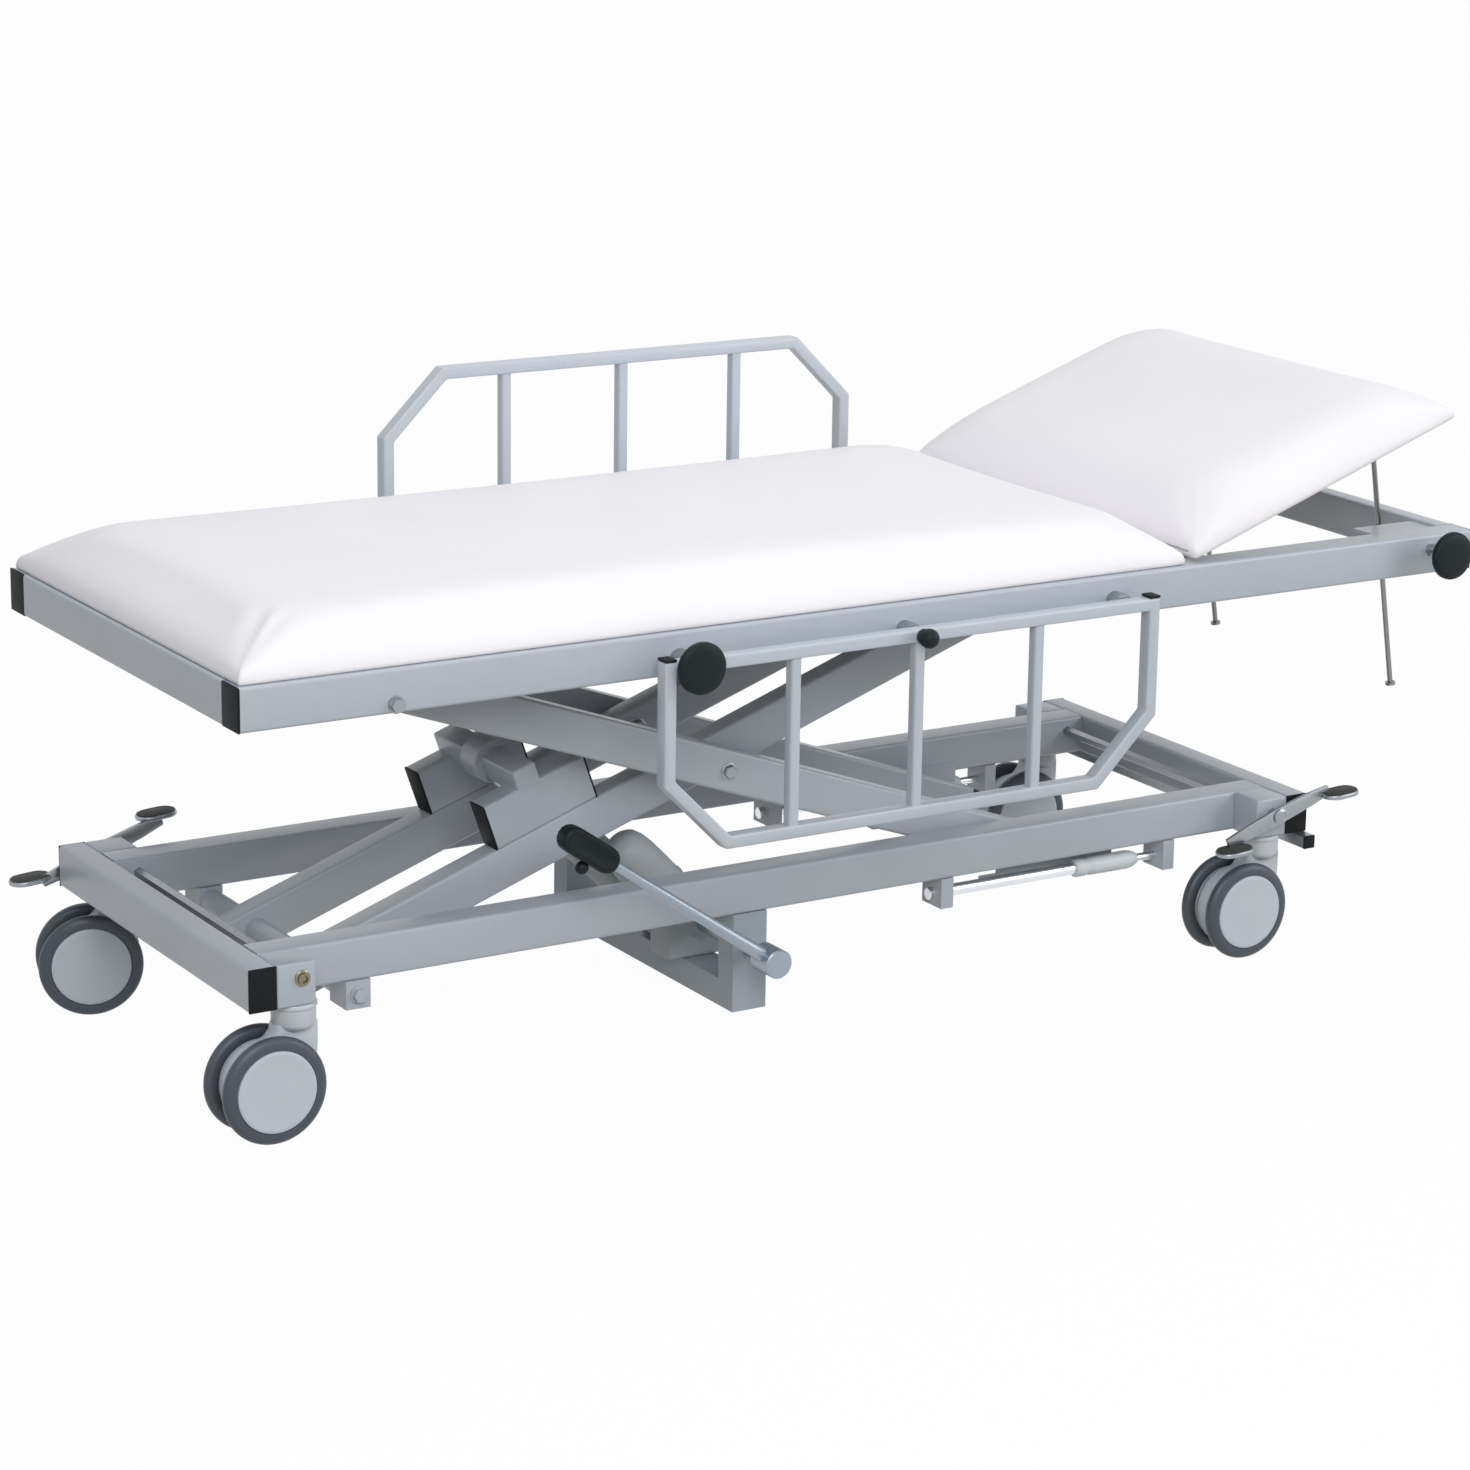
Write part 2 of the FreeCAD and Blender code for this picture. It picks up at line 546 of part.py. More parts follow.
def build_base():
    """The wheeled frame, its brackets and tracks, and the cradle that holds the pump."""
    low = "base_top - rail_tall"
    face = "-base_rail_face"
    inside = "rail_wide - base_rail_face"
    rail = tube_x("base_start + base_cross_wide", "base_end - base_cross_wide", face, inside, low,
                  "base_top", "rail_wall")
    holes = []
    for spot in ("caster_foot_x", "caster_head_x"):
        holes.append(rod("y", spot, "brake_z", "-base_half - 1", inside + " + 1",
                         "brake_flats / sqrt(3) + running_gap"))
    node("lower_rails", both(cut(rail, *holes)))
    bars = []
    caps = []
    for start in ("base_start", "base_end - base_cross_wide"):
        bars.append(tube_y(start, start + " + base_cross_wide", "cap_thick - base_half",
                           "base_half - cap_thick", low, "base_top", "rail_wall"))
        caps.append(box(start, start + " + base_cross_wide", "-base_half", "cap_thick - base_half", low,
                        "base_top"))
    node("lower_crossbars", group(*bars))
    caps.append(box("base_end - 22", "base_end - 2", "-base_half - 25", "-base_half - 22", low + " - 20",
                    low))
    node("lower_end_caps", both(group(*caps)))
    node("stop_bar", tube_y("base_end - 22", "base_end - 2", "-base_half - 22", "base_half + 22",
                            low + " - 20", low, "2"))
    blocks = []
    for start, spot in (("base_start + base_cross_wide", "caster_foot_x"),
                        ("base_end - base_cross_wide - 56", "caster_head_x")):
        block = box(start, start + " + 56", "-base_half", face, low, "base_top")
        stem = rod("z", spot, "-caster_y", low + " - 1", low + " + 25", "9 + running_gap")
        blocks.append(cut(block, stem, *holes))
    node("caster_blocks", both(group(*blocks)))
    bracket = cut(box("pivot_x - 18", "pivot_x + 18", face, inside, "pivot_low - 20", low),
                  rod("y", "pivot_x", "pivot_low", face + " - 1", inside + " + 1", "shaft_radius"))
    node("pivot_brackets", both(bracket))
    outer = "inner_face + 0.3"
    within = "inner_face - arm_wide - 0.3"
    head = bolt_head("pivot_x", "pivot_low", face)
    shaft = rod("y", "pivot_x", "pivot_low", face, "base_rail_face", "shaft_radius")
    near = rod("y", "pivot_x", "pivot_low", inside, "-scissor_shift - (%s)" % outer, "17")
    middle = rod("y", "pivot_x", "pivot_low", "-scissor_shift - (%s)" % within,
                 "%s - scissor_shift" % within, "17")
    far = rod("y", "pivot_x", "pivot_low", "%s - scissor_shift" % outer, "base_rail_face - rail_wide",
              "17")
    node("lower_pivot_shaft", fuse(shaft, near, middle, far, head, mirrored(head)))
    floor = "pivot_low - roller_radius"
    edge = "outer_face - arm_wide"
    tracks = []
    for reach, sign in (("-scissor_shift - (%s)" % edge, "-"), ("%s - scissor_shift" % edge, "")):
        wall = "%s(base_rail_face - rail_wide)" % sign
        low_y, high_y = (wall, reach) if sign else (reach, wall)
        web = (wall, wall + " + 3") if sign else (wall + " - 3", wall)
        tracks.append(fuse(box("roller_x - 145", "roller_x + 65", low_y, high_y, floor + " - 4", floor),
                           box("roller_x - 145", "roller_x + 65", web[0], web[1], floor + " - 4", low + " + 16")))
    node("lower_tracks", group(*tracks))
    brackets = []
    for start, reach, radius in (("base_end - 628", "21", "pole_radius"),
                                 ("base_end - 226", "20", "pin_radius")):
        block = box(start, "%s + %s" % (start, reach), face, inside, "pole_z - 18", low)
        bore = rod("x", "-pole_y", "pole_z", start + " - 1", "%s + %s + 1" % (start, reach),
                   radius + " + running_gap")
        brackets.append(cut(block, bore))
    node("pole_brackets", both(group(*brackets)))
    pole = fuse(rod("x", "-pole_y", "pole_z", "base_end - 636", "base_end - 375", "pole_radius"),
                rod("x", "-pole_y", "pole_z", "base_end - 375", "base_end - 260", "14"),
                rod("x", "-pole_y", "pole_z", "base_end - 260", "base_end - 194", "pin_radius"))
    node("pole_near", pole)
    node("pole_far", mirrored(pole))
    bolt = fuse(hexagon("0", "brake_z", "-base_half - 8", "-base_half", "20"),
                rod("y", "0", "brake_z", "-base_half - 3", "-base_half", "13"))
    node("brake_bolts", group(moved(bolt, "caster_foot_x"), moved(mirrored(bolt), "caster_head_x")))


def build_cradle():
    """The U frame under the rails, with the ears that carry the cylinder's trunnion."""
    low = "base_top - rail_tall"
    x1 = "cradle_x + cradle_wide"
    wide = "base_rail_face - 40"
    outer = fuse(box("cradle_x", x1, "-base_rail_face", "-(%s)" % wide, "cradle_low", low),
                 box("cradle_x", x1, wide, "base_rail_face", "cradle_low", low),
                 box("cradle_x", x1, "-(%s) - 1" % wide, wide + " + 1", "cradle_low", "cradle_low + 40"))
    inner = fuse(box("cradle_x + 3", x1 + " - 3", "3 - base_rail_face", "-(%s) - 3" % wide,
                     "cradle_low + 3", low + " + 1"),
                 box("cradle_x + 3", x1 + " - 3", wide + " + 3", "base_rail_face - 3",
                     "cradle_low + 3", low + " + 1"),
                 box("cradle_x + 3", x1 + " - 3", "5 - base_rail_face", "base_rail_face - 5",
                     "cradle_low + 3", "cradle_low + 37"))
    ears = []
    for y0 in ("-44 - scissor_shift", "34 - scissor_shift"):
        ears.append(box("pump_x - 22", "pump_x + 22", y0, y0 + " + 10", "cradle_low + 39.9",
                        "pump_z + 16"))
    bores = [rod("y", "lever_x", "lever_z", "-base_rail_face - 1", "62 - base_rail_face", "shaft_radius + running_gap"),
             rod("y", "pump_x", "pump_z", "-45 - scissor_shift", "45 - scissor_shift",
                 "bolt_radius + running_gap")]
    node("pump_cradle", cut(fuse(cut(outer, inner), *ears), *bores))


def build_pump():
    """The cast pump block with its reservoir, the tilting cylinder and its piston rod."""
    turn = math.radians(number(TILT))
    along = number("tube_along")
    above = number("tube_above")
    reach_x = number("pivot_x") + along * math.cos(turn) - above * math.sin(turn) - number("pump_x")
    reach_z = number("pivot_low") + along * math.sin(turn) + above * math.cos(turn) - number("pump_z")
    reach = math.hypot(reach_x, reach_z)
    lean = math.degrees(math.atan2(-reach_x, reach_z))
    spot = ("pump_x", "-scissor_shift", "pump_z", (0, -1, 0), "%.6f" % lean)
    sleeve = fuse(rod("y", "0", "0", "-32", "32", "19"), rod("y", "0", "0", "-44", "44", "bolt_radius"),
                  rod("z", "0", "0", "8", "285", "30"), rod("z", "0", "0", "262", "290", "34"),
                  rod("z", "0", "0", "18", "34", "33"))
    bore = rod("z", "0", "0", "110", "291", "15 + running_gap")
    node("pump_cylinder", cut(sleeve, bore), *spot)
    tip = "%.6f" % reach
    eye = cut(fuse(rod("z", "0", "0", "135", tip + " - 24", "15"), rod("y", "0", tip, "-22", "22", "31"),
                   rod("z", "0", "0", tip + " - 50", tip + " - 26", "21")),
              rod("y", "0", tip, "-23", "23", "tube_radius + eye_gap"))
    node("piston_rod", eye, *spot)
    top = "cradle_low + 40"
    block = box("pump_x - 65", "pump_x + 39", "-104", "-48", top, top + " + 62")
    ledge = box("pump_x - 39", "pump_x + 13", "-112", "-104", top, top + " + 26")
    tank = place(rod("z", "0", "0", "40", "212", "31"), "pump_x + 12", "-76", "97", (0, -1, 0), "43")
    crown = place(rod("z", "0", "0", "212", "222", "25"), "pump_x + 12", "-76", "97", (0, -1, 0), "43")
    filler = place(rod("z", "0", "0", "222", "232", "9"), "pump_x + 12", "-76", "97", (0, -1, 0), "43")
    valve = rod("z", "pump_x - 47", "-72", top + " + 62", top + " + 92", "14")
    screw = rod("z", "pump_x - 47", "-72", top + " + 92", top + " + 104", "7")
    shell = place(rod("z", "0", "0", "212", "240", "31"), "pump_x + 12", "-76", "97", (0, -1, 0), "43")
    fixed = cut(fuse(block, ledge, tank, crown, filler, valve, screw), shell)
    fixed = fuse(fixed, crown, filler)
    socket = rod("y", "lever_x", "lever_z", "-113", "-70", "shaft_radius + running_gap")
    node("pump_body", cut(fixed, socket), "0", "-scissor_shift")


def build_lever():
    """The pump lever with its shaft, grip and release knob, in the shaft's own frame."""
    spot = ("lever_x", "0", "lever_z", (0, 1, 0), "lever_angle")
    hub_y = "-base_rail_face - 38"
    mid = "(-base_rail_face - 62)"
    shaft = rod("y", "0", "0", hub_y, "-71 - scissor_shift", "shaft_radius")
    hub = rod("y", "0", "0", hub_y + " - 45", hub_y, "18")
    bar = rod("x", mid, "0", "-lever_length", "0", "7")
    node("lever", fuse(shaft, hub, bar), *spot)
    far = "-lever_length - grip_length"
    grip = fuse(box(far + " + 19", "-lever_length - 19", mid + " - 14", mid + " + 14", "-19", "19"),
                rod("y", far + " + 19", "0", mid + " - 14", mid + " + 14", "19"),
                rod("y", "-lever_length - 19", "0", mid + " - 14", mid + " + 14", "19"))
    tap = rod("z", "-lever_length - 44", mid, "-20", "-8", "3 + running_gap")
    node("lever_grip", cut(grip, tap), *spot)
    knob = fuse(place(sphere("10"), "-lever_length - 44", mid, "-34"),
                rod("z", "-lever_length - 44", mid, "-30", "-15", "3"))
    node("release_knob", knob, *spot)


def build_casters():
    """Four braked twin wheel casters and the two brake pedals with their hexagonal shafts."""
    low = "base_top - rail_tall"
    trail = "-caster_trail"
    hood = padded("XZ_Plane", [[("-30", low + " - 34.5"), ("-52", "112"), ("-60", "74"), ("-46", "50"),
                                ("-20", "50"), ("30", "116"), ("30", low + " - 34.5")]], "26")
    neck = rod("z", "0", "0", low + " - 35", low + " - 0.1", "30")
    stem = rod("z", "0", "0", low + " - 1", low + " + 24", "9")
    ring = rod("z", "0", "0", low + " - 6", low + " - 2", "31.5")
    axle = rod("y", trail, "wheel_radius", "-20", "20", "pin_radius + running_gap")
    fork = cut(fuse(moved(hood, "0", "13"), neck, ring, stem), axle)
    outer = "wheel_wide + 14"
    wheel = turned([("0", "-14"), ("15", "-14"), ("15", "-13.2"), ("pin_radius", "-13.2"),
                    ("pin_radius", "13.2"), ("15", "13.2"), ("15", "14"), ("wheel_radius - 4", "14"),
                    ("wheel_radius", "18"), ("wheel_radius", outer + " - 6"),
                    ("wheel_radius - 6", outer), ("58", outer), ("57", outer + " + 1.5"), ("0", outer + " + 2")])
    half = fuse(wheel, rod("z", "0", "0", "-20", "0", "pin_radius"))
    pair = fuse(half, moved(half, "0", "0", "0", (1, 0, 0), 180))
    wheels = moved(pair, trail, "0", "wheel_radius", (1, 0, 0), 90)
    for label, spot, side, turn in (("near_foot", "caster_foot_x", "-caster_y", "0"),
                                    ("near_head", "caster_head_x", "-caster_y", "0"),
                                    ("far_foot", "caster_foot_x", "caster_y", "-18"),
                                    ("far_head", "caster_head_x", "caster_y", "0")):
        node("fork_" + label, fork, spot, side, "0", (0, 0, 1), turn)
        node("wheels_" + label, wheels, spot, side, "0", (0, 0, 1), turn)
    head = pedal_solid((("-97", "-12"), ("111", "-11")), "17.5")
    node("pedal_head", head, "caster_head_x", "0", "brake_z")
    foot = pedal_solid((("-113", "9"), ("93", "8")), "20")
    node("pedal_foot", mirrored(foot), "caster_foot_x", "0", "brake_z")


def pedal_solid(pads, tilt):
    """A brake pedal: its hexagonal shaft, and a tilted bar that ends in two level treads."""
    shaft = hexagon("0", "0", "-base_half - 21", "base_half - 4", "brake_flats")
    washer = rod("y", "0", "0", "-base_half - 24", "-base_half - 21", "12")
    corners = [("-100", "-9"), ("0", "-13"), ("95", "-9"), ("95", "8"), ("0", "13"), ("-100", "8")]
    bar = moved(padded("XZ_Plane", [corners], "6"), "0", "-base_half - 15", "0")
    treads = []
    for along, above in pads:
        tread = box("-31", "31", "-base_half - 46", "-base_half - 6", "-3", "3")
        treads.append(moved(tread, along, "0", above, (0, 1, 0), "0.8 * %s" % tilt))
    tilted = moved(fuse(bar, *treads), "0", "0", "0", (0, -1, 0), tilt)
    return fuse(shaft, tilted, washer)


build_upper_frame()
build_head_brackets()
build_guard_fixings()
build_mattress()
build_headrest()
build_guards()
build_arms()
build_base()
build_cradle()
build_pump()
build_lever()
build_casters()
doc.recompute()

os.makedirs("parts", exist_ok=True)
for item in doc.Objects:
    if "Invalid" in item.State or "Error" in item.State:
        raise RuntimeError("not built: %s (%s)" % (item.Name, item.Label))
for item in NODES:
    if item.Shape.isNull() or not item.Shape.isValid():
        raise RuntimeError("bad shape: " + item.Label)
    if len(item.Shape.Solids) == 0:
        raise RuntimeError("no solid: " + item.Label)
    item.Shape.exportStep("parts/%s.step" % item.Label)
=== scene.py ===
"""Dresses the patient transport stretcher: cushions, tube, casters, pump, guards and finishes.

Sizes are in millimetres. X runs from the foot end, Y from the bed's middle and Z from the floor.
"""

import json
import logging
import math
from dataclasses import dataclass, replace
from enum import Enum
from typing import Callable, Iterable, Sequence

import bpy
from mathutils import Matrix, Vector

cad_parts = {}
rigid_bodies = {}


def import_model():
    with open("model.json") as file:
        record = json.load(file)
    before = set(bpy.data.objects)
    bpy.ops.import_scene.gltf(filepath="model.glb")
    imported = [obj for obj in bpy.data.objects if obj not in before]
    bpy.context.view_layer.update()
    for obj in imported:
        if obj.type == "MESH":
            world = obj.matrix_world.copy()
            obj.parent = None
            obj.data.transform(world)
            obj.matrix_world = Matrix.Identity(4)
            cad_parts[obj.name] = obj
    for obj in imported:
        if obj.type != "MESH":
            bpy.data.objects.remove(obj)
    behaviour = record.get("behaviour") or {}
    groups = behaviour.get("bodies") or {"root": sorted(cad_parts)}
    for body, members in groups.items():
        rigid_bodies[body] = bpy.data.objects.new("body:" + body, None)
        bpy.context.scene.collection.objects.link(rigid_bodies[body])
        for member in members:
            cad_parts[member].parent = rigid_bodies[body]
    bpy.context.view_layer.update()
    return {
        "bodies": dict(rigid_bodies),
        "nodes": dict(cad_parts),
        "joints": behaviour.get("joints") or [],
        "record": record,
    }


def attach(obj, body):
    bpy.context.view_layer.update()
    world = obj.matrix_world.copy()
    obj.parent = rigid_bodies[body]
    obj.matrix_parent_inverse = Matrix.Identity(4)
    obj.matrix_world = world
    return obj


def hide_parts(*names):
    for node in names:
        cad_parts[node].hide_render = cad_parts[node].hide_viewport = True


Point = Sequence[float]
Outline = Sequence[tuple[float, float]]
Piece = bpy.types.Object
LOG = logging.getLogger("stretcher")

# Millimetres from the foot end of the bed to the origin of the row frame.
MIDDLE = 1000.8
# How far the scissor and the pump sit off the bed's middle, towards the camera.
SHIFT = -21.0
# The far side, then the near side.
SIDES = (1.0, -1.0)
# How far the dull and the fresh places of a finish differ from its roughness.
GLOSS_SWING = 0.06
COAT_ROUGHNESS = 0.08


def spot(x: float, y: float, z: float) -> Vector:
    """A place given in millimetres from the foot end, as metres in the row frame."""
    return Vector(((x - MIDDLE) / 1000, y / 1000, z / 1000))


def linear(red: int, green: int, blue: int) -> tuple[float, float, float, float]:
    """A screen colour as the shader's linear colour.

    Args:
        red: Red, 0 to 255.
        green: Green, 0 to 255.
        blue: Blue, 0 to 255.

    Returns:
        The linear colour, opaque.
    """
    values = []
    for part in (red, green, blue):
        share = part / 255
        values.append(share / 12.92 if share <= 0.04045 else ((share + 0.055) / 1.055) ** 2.4)
    return (values[0], values[1], values[2], 1.0)


def oblong(across: float, up: float, half: float, radius: float) -> Outline:
    """A long shape with round ends.

    Args:
        across: Its middle along its length, in millimetres.
        up: Its middle the other way.
        half: Half its length.
        radius: The radius of its ends.

    Returns:
        The outline's points, in order.
    """
    points = []
    for end, first in ((1, -90), (-1, 90)):
        for step in range(9):
            angle = math.radians(first + 22.5 * step)
            points.append((across + end * (half - radius) + radius * math.cos(angle),
                           up + radius * math.sin(angle)))
    return points


class Pattern(Enum):
    """The small surface detail a finish carries."""

    PEEL = "orange peel of sprayed paint"
    GRAIN = "fine vinyl grain"
    BRUSHED = "drawn or turned metal"
    MOULDED = "spark-eroded plastic"
    CAST = "sand casting"
    WOOD = "laminated board"


class Shades:
    """Shader node groups that several finishes share, built once each."""

    made: dict[str, bpy.types.NodeTree] = {}
    stretches: dict[Pattern, tuple[float, float, float]] = {
        Pattern.BRUSHED: (1.0, 0.04, 1.0), Pattern.WOOD: (0.05, 1.0, 1.0)}

    @classmethod
    def group(cls, name: str, inputs: dict[str, float], outputs: dict[str, str]) -> bpy.types.NodeTree:
        """Start a node group that takes a place on the piece.

        Args:
            name: The group's name.
            inputs: Float sockets and their defaults.
            outputs: Output sockets and their types.

        Returns:
            The new group, with its input and output nodes.
        """
        tree = bpy.data.node_groups.new(name, "ShaderNodeTree")
        tree.interface.new_socket("Vector", in_out="INPUT", socket_type="NodeSocketVector")
        for label, value in inputs.items():
            socket = tree.interface.new_socket(label, in_out="INPUT", socket_type="NodeSocketFloat")
            socket.default_value = value
        for label, kind in outputs.items():
            tree.interface.new_socket(label, in_out="OUTPUT", socket_type=kind)
        tree.nodes.new("NodeGroupInput").name = "in"
        tree.nodes.new("NodeGroupOutput").name = "out"
        cls.made[name] = tree
        return tree

    @classmethod
    def weathering(cls) -> bpy.types.NodeTree:
        """Broad soft variation and small dull marks.

        Returns:
            A group with a Mask output from 0 to 1.
        """
        if "weathering" in cls.made:
            return cls.made["weathering"]
        tree = cls.group("weathering", {"Scale": 6.0, "Marks": 0.5}, {"Mask": "NodeSocketFloat"})
        nodes, links = tree.nodes, tree.links
        broad = nodes.new("ShaderNodeTexNoise")
        broad.inputs["Detail"].default_value = 3.0
        links.new(nodes["in"].outputs["Vector"], broad.inputs["Vector"])
        links.new(nodes["in"].outputs["Scale"], broad.inputs["Scale"])
        fine = nodes.new("ShaderNodeTexNoise")
        fine.inputs["Scale"].default_value = 90.0
        fine.inputs["Detail"].default_value = 5.0
        links.new(nodes["in"].outputs["Vector"], fine.inputs["Vector"])
        ramp = nodes.new("ShaderNodeMapRange")
        ramp.inputs["From Min"].default_value = 0.62
        ramp.inputs["From Max"].default_value = 0.75
        links.new(fine.outputs["Fac"], ramp.inputs["Value"])
        scaled = nodes.new("ShaderNodeMath")
        scaled.operation = "MULTIPLY"
        links.new(ramp.outputs["Result"], scaled.inputs[0])
        links.new(nodes["in"].outputs["Marks"], scaled.inputs[1])
        total = nodes.new("ShaderNodeMath")
        total.operation = "ADD"
        total.use_clamp = True
        links.new(broad.outputs["Fac"], total.inputs[0])
        links.new(scaled.outputs[0], total.inputs[1])
        links.new(total.outputs[0], nodes["out"].inputs["Mask"])
        return tree

    @classmethod
    def relief(cls, pattern: Pattern) -> bpy.types.NodeTree:
        """The fine height of a pattern.

        Args:
            pattern: Which surface detail to make.

        Returns:
            A group with a Height output from 0 to 1.
        """
        name = "relief_" + pattern.name.lower()
        if name in cls.made:
            return cls.made[name]
        tree = cls.group(name, {"Scale": 300.0}, {"Height": "NodeSocketFloat"})
        nodes, links = tree.nodes, tree.links
        source = nodes["in"].outputs["Vector"]
        if pattern in cls.stretches:
            stretch = nodes.new("ShaderNodeMapping")
            stretch.inputs["Scale"].default_value = cls.stretches[pattern]
            links.new(source, stretch.inputs["Vector"])
            source = stretch.outputs["Vector"]
        if pattern is Pattern.GRAIN:
            made = nodes.new("ShaderNodeTexVoronoi")
            made.feature = "SMOOTH_F1"
            height = made.outputs["Distance"]
        else:
            made = nodes.new("ShaderNodeTexNoise")
            made.inputs["Detail"].default_value = 4.0 if pattern is Pattern.CAST else 2.0
            height = made.outputs["Fac"]
        links.new(source, made.inputs["Vector"])
        links.new(nodes["in"].outputs["Scale"], made.inputs["Scale"])
        links.new(height, nodes["out"].inputs["Height"])
        return tree


@dataclass(frozen=True)
class Finish:
    """One surface: its colour, gloss and fine pattern, whose depth is in millimetres."""

    name: str
    colour: tuple[int, int, int]
    worn: tuple[int, int, int]
    roughness: float
    pattern: Pattern
    scale: float
    depth: float
    metallic: float = 0.0
    coat: float = 0.0
    sheen: float = 0.0
    shine: float = 0.5

    def build(self) -> bpy.types.Material:
        """Make the material, unless it is already made.

        Returns:
            The material.
        """
        if self.name in bpy.data.materials:
            return bpy.data.materials[self.name]
        made = bpy.data.materials.new(self.name)
        made.use_nodes = True
        nodes, links = made.node_tree.nodes, made.node_tree.links
        shader = nodes["Principled BSDF"]
        for label, value in (("Metallic", self.metallic), ("Coat Weight", self.coat),
                             ("Coat Roughness", COAT_ROUGHNESS), ("Sheen Weight", self.sheen),
                             ("Specular IOR Level", self.shine)):
            shader.inputs[label].default_value = value
        where = nodes.new("ShaderNodeTexCoord").outputs["Object"]
        wear = nodes.new("ShaderNodeGroup")
        wear.node_tree = Shades.weathering()
        links.new(where, wear.inputs["Vector"])
        tint = nodes.new("ShaderNodeMix")
        tint.data_type = "RGBA"
        tint.inputs["A"].default_value = linear(*self.colour)
        tint.inputs["B"].default_value = linear(*self.worn)
        links.new(wear.outputs["Mask"], tint.inputs["Factor"])
        links.new(tint.outputs["Result"], shader.inputs["Base Color"])
        gloss = nodes.new("ShaderNodeMapRange")
        gloss.inputs["To Min"].default_value = max(0.02, self.roughness - GLOSS_SWING)
        gloss.inputs["To Max"].default_value = self.roughness + GLOSS_SWING
        links.new(wear.outputs["Mask"], gloss.inputs["Value"])
        links.new(gloss.outputs["Result"], shader.inputs["Roughness"])
        relief = nodes.new("ShaderNodeGroup")
        relief.node_tree = Shades.relief(self.pattern)
        relief.inputs["Scale"].default_value = self.scale
        links.new(where, relief.inputs["Vector"])
        bump = nodes.new("ShaderNodeBump")
        bump.inputs["Strength"].default_value = 0.5
        bump.inputs["Distance"].default_value = self.depth / 1000
        links.new(relief.outputs["Height"], bump.inputs["Height"])
        links.new(bump.outputs["Normal"], shader.inputs["Normal"])
        return made

    def dress(self, piece: Piece) -> None:
        """Give a piece this finish in place of its own."""
        piece.data.materials.clear()
        piece.data.materials.append(self.build())


PAINT = Finish("sprayed_grey", (185, 191, 199), (177, 183, 191), 0.34, Pattern.PEEL, 700, 0.05,
               coat=0.1, shine=0.4)
# The guards' copy of the frame paint is lighter than PAINT: painted light, standing in for the brighter light
# the guards take.
GUARD_PAINTED_LIGHT = replace(PAINT, name="guard_grey_painted_light", colour=(194, 200, 208), worn=(186, 192, 200))
CRADLE = Finish("cradle_grey", (170, 178, 186), (162, 170, 178), 0.36, Pattern.PEEL, 700, 0.05, shine=0.3)
CAST = Finish("cast_grey", (188, 194, 199), (164, 170, 174), 0.5, Pattern.CAST, 160, 0.6, shine=0.3)
STEEL = Finish("zinc_steel", (168, 173, 178), (146, 150, 155), 0.34, Pattern.BRUSHED, 900, 0.03, metallic=0.9)
CHROME = Finish("polished_chrome", (238, 240, 243), (216, 220, 225), 0.3, Pattern.BRUSHED, 500, 0.01,
                metallic=1.0)
LEVER = Finish("lever_chrome", (168, 179, 191), (142, 153, 164), 0.36, Pattern.BRUSHED, 500, 0.01,
               metallic=0.8)
STRUT = Finish("dark_chrome", (150, 150, 147), (122, 122, 119), 0.3, Pattern.BRUSHED, 700, 0.02, metallic=1.0)
BRASS = Finish("dull_brass", (150, 143, 122), (112, 104, 84), 0.3, Pattern.BRUSHED, 900, 0.03, metallic=1.0)
BLACK = Finish("cap_plastic", (26, 28, 31), (34, 36, 39), 0.55, Pattern.MOULDED, 900, 0.08, shine=0.1)
KNOB = Finish("knob_plastic", (22, 30, 33), (30, 37, 39), 0.45, Pattern.MOULDED, 900, 0.08, shine=0.15)
DISC = Finish("caster_plastic", (203, 210, 217), (196, 203, 210), 0.4, Pattern.MOULDED, 700, 0.06, shine=0.3)
HOOD = Finish("caster_hood", (207, 212, 219), (199, 204, 211), 0.36, Pattern.MOULDED, 700, 0.06, shine=0.4)
SLEEVE = Finish("sleeve_grey", (222, 228, 232), (210, 216, 220), 0.4, Pattern.MOULDED, 600, 0.06, shine=0.3)
TYRE = Finish("tyre_rubber", (66, 73, 83), (78, 85, 94), 0.42, Pattern.MOULDED, 500, 0.1, shine=0.45)
RUBBER = Finish("pad_rubber", (48, 50, 48), (66, 68, 64), 0.6, Pattern.MOULDED, 400, 0.15, shine=0.25)
VINYL = Finish("white_vinyl", (245, 242, 245), (240, 237, 240), 0.5, Pattern.GRAIN, 1100, 0.12,
               sheen=0.05, shine=0.3)
BOARD = Finish("faced_board", (206, 203, 200), (192, 189, 185), 0.5, Pattern.WOOD, 160, 0.1, shine=0.3)


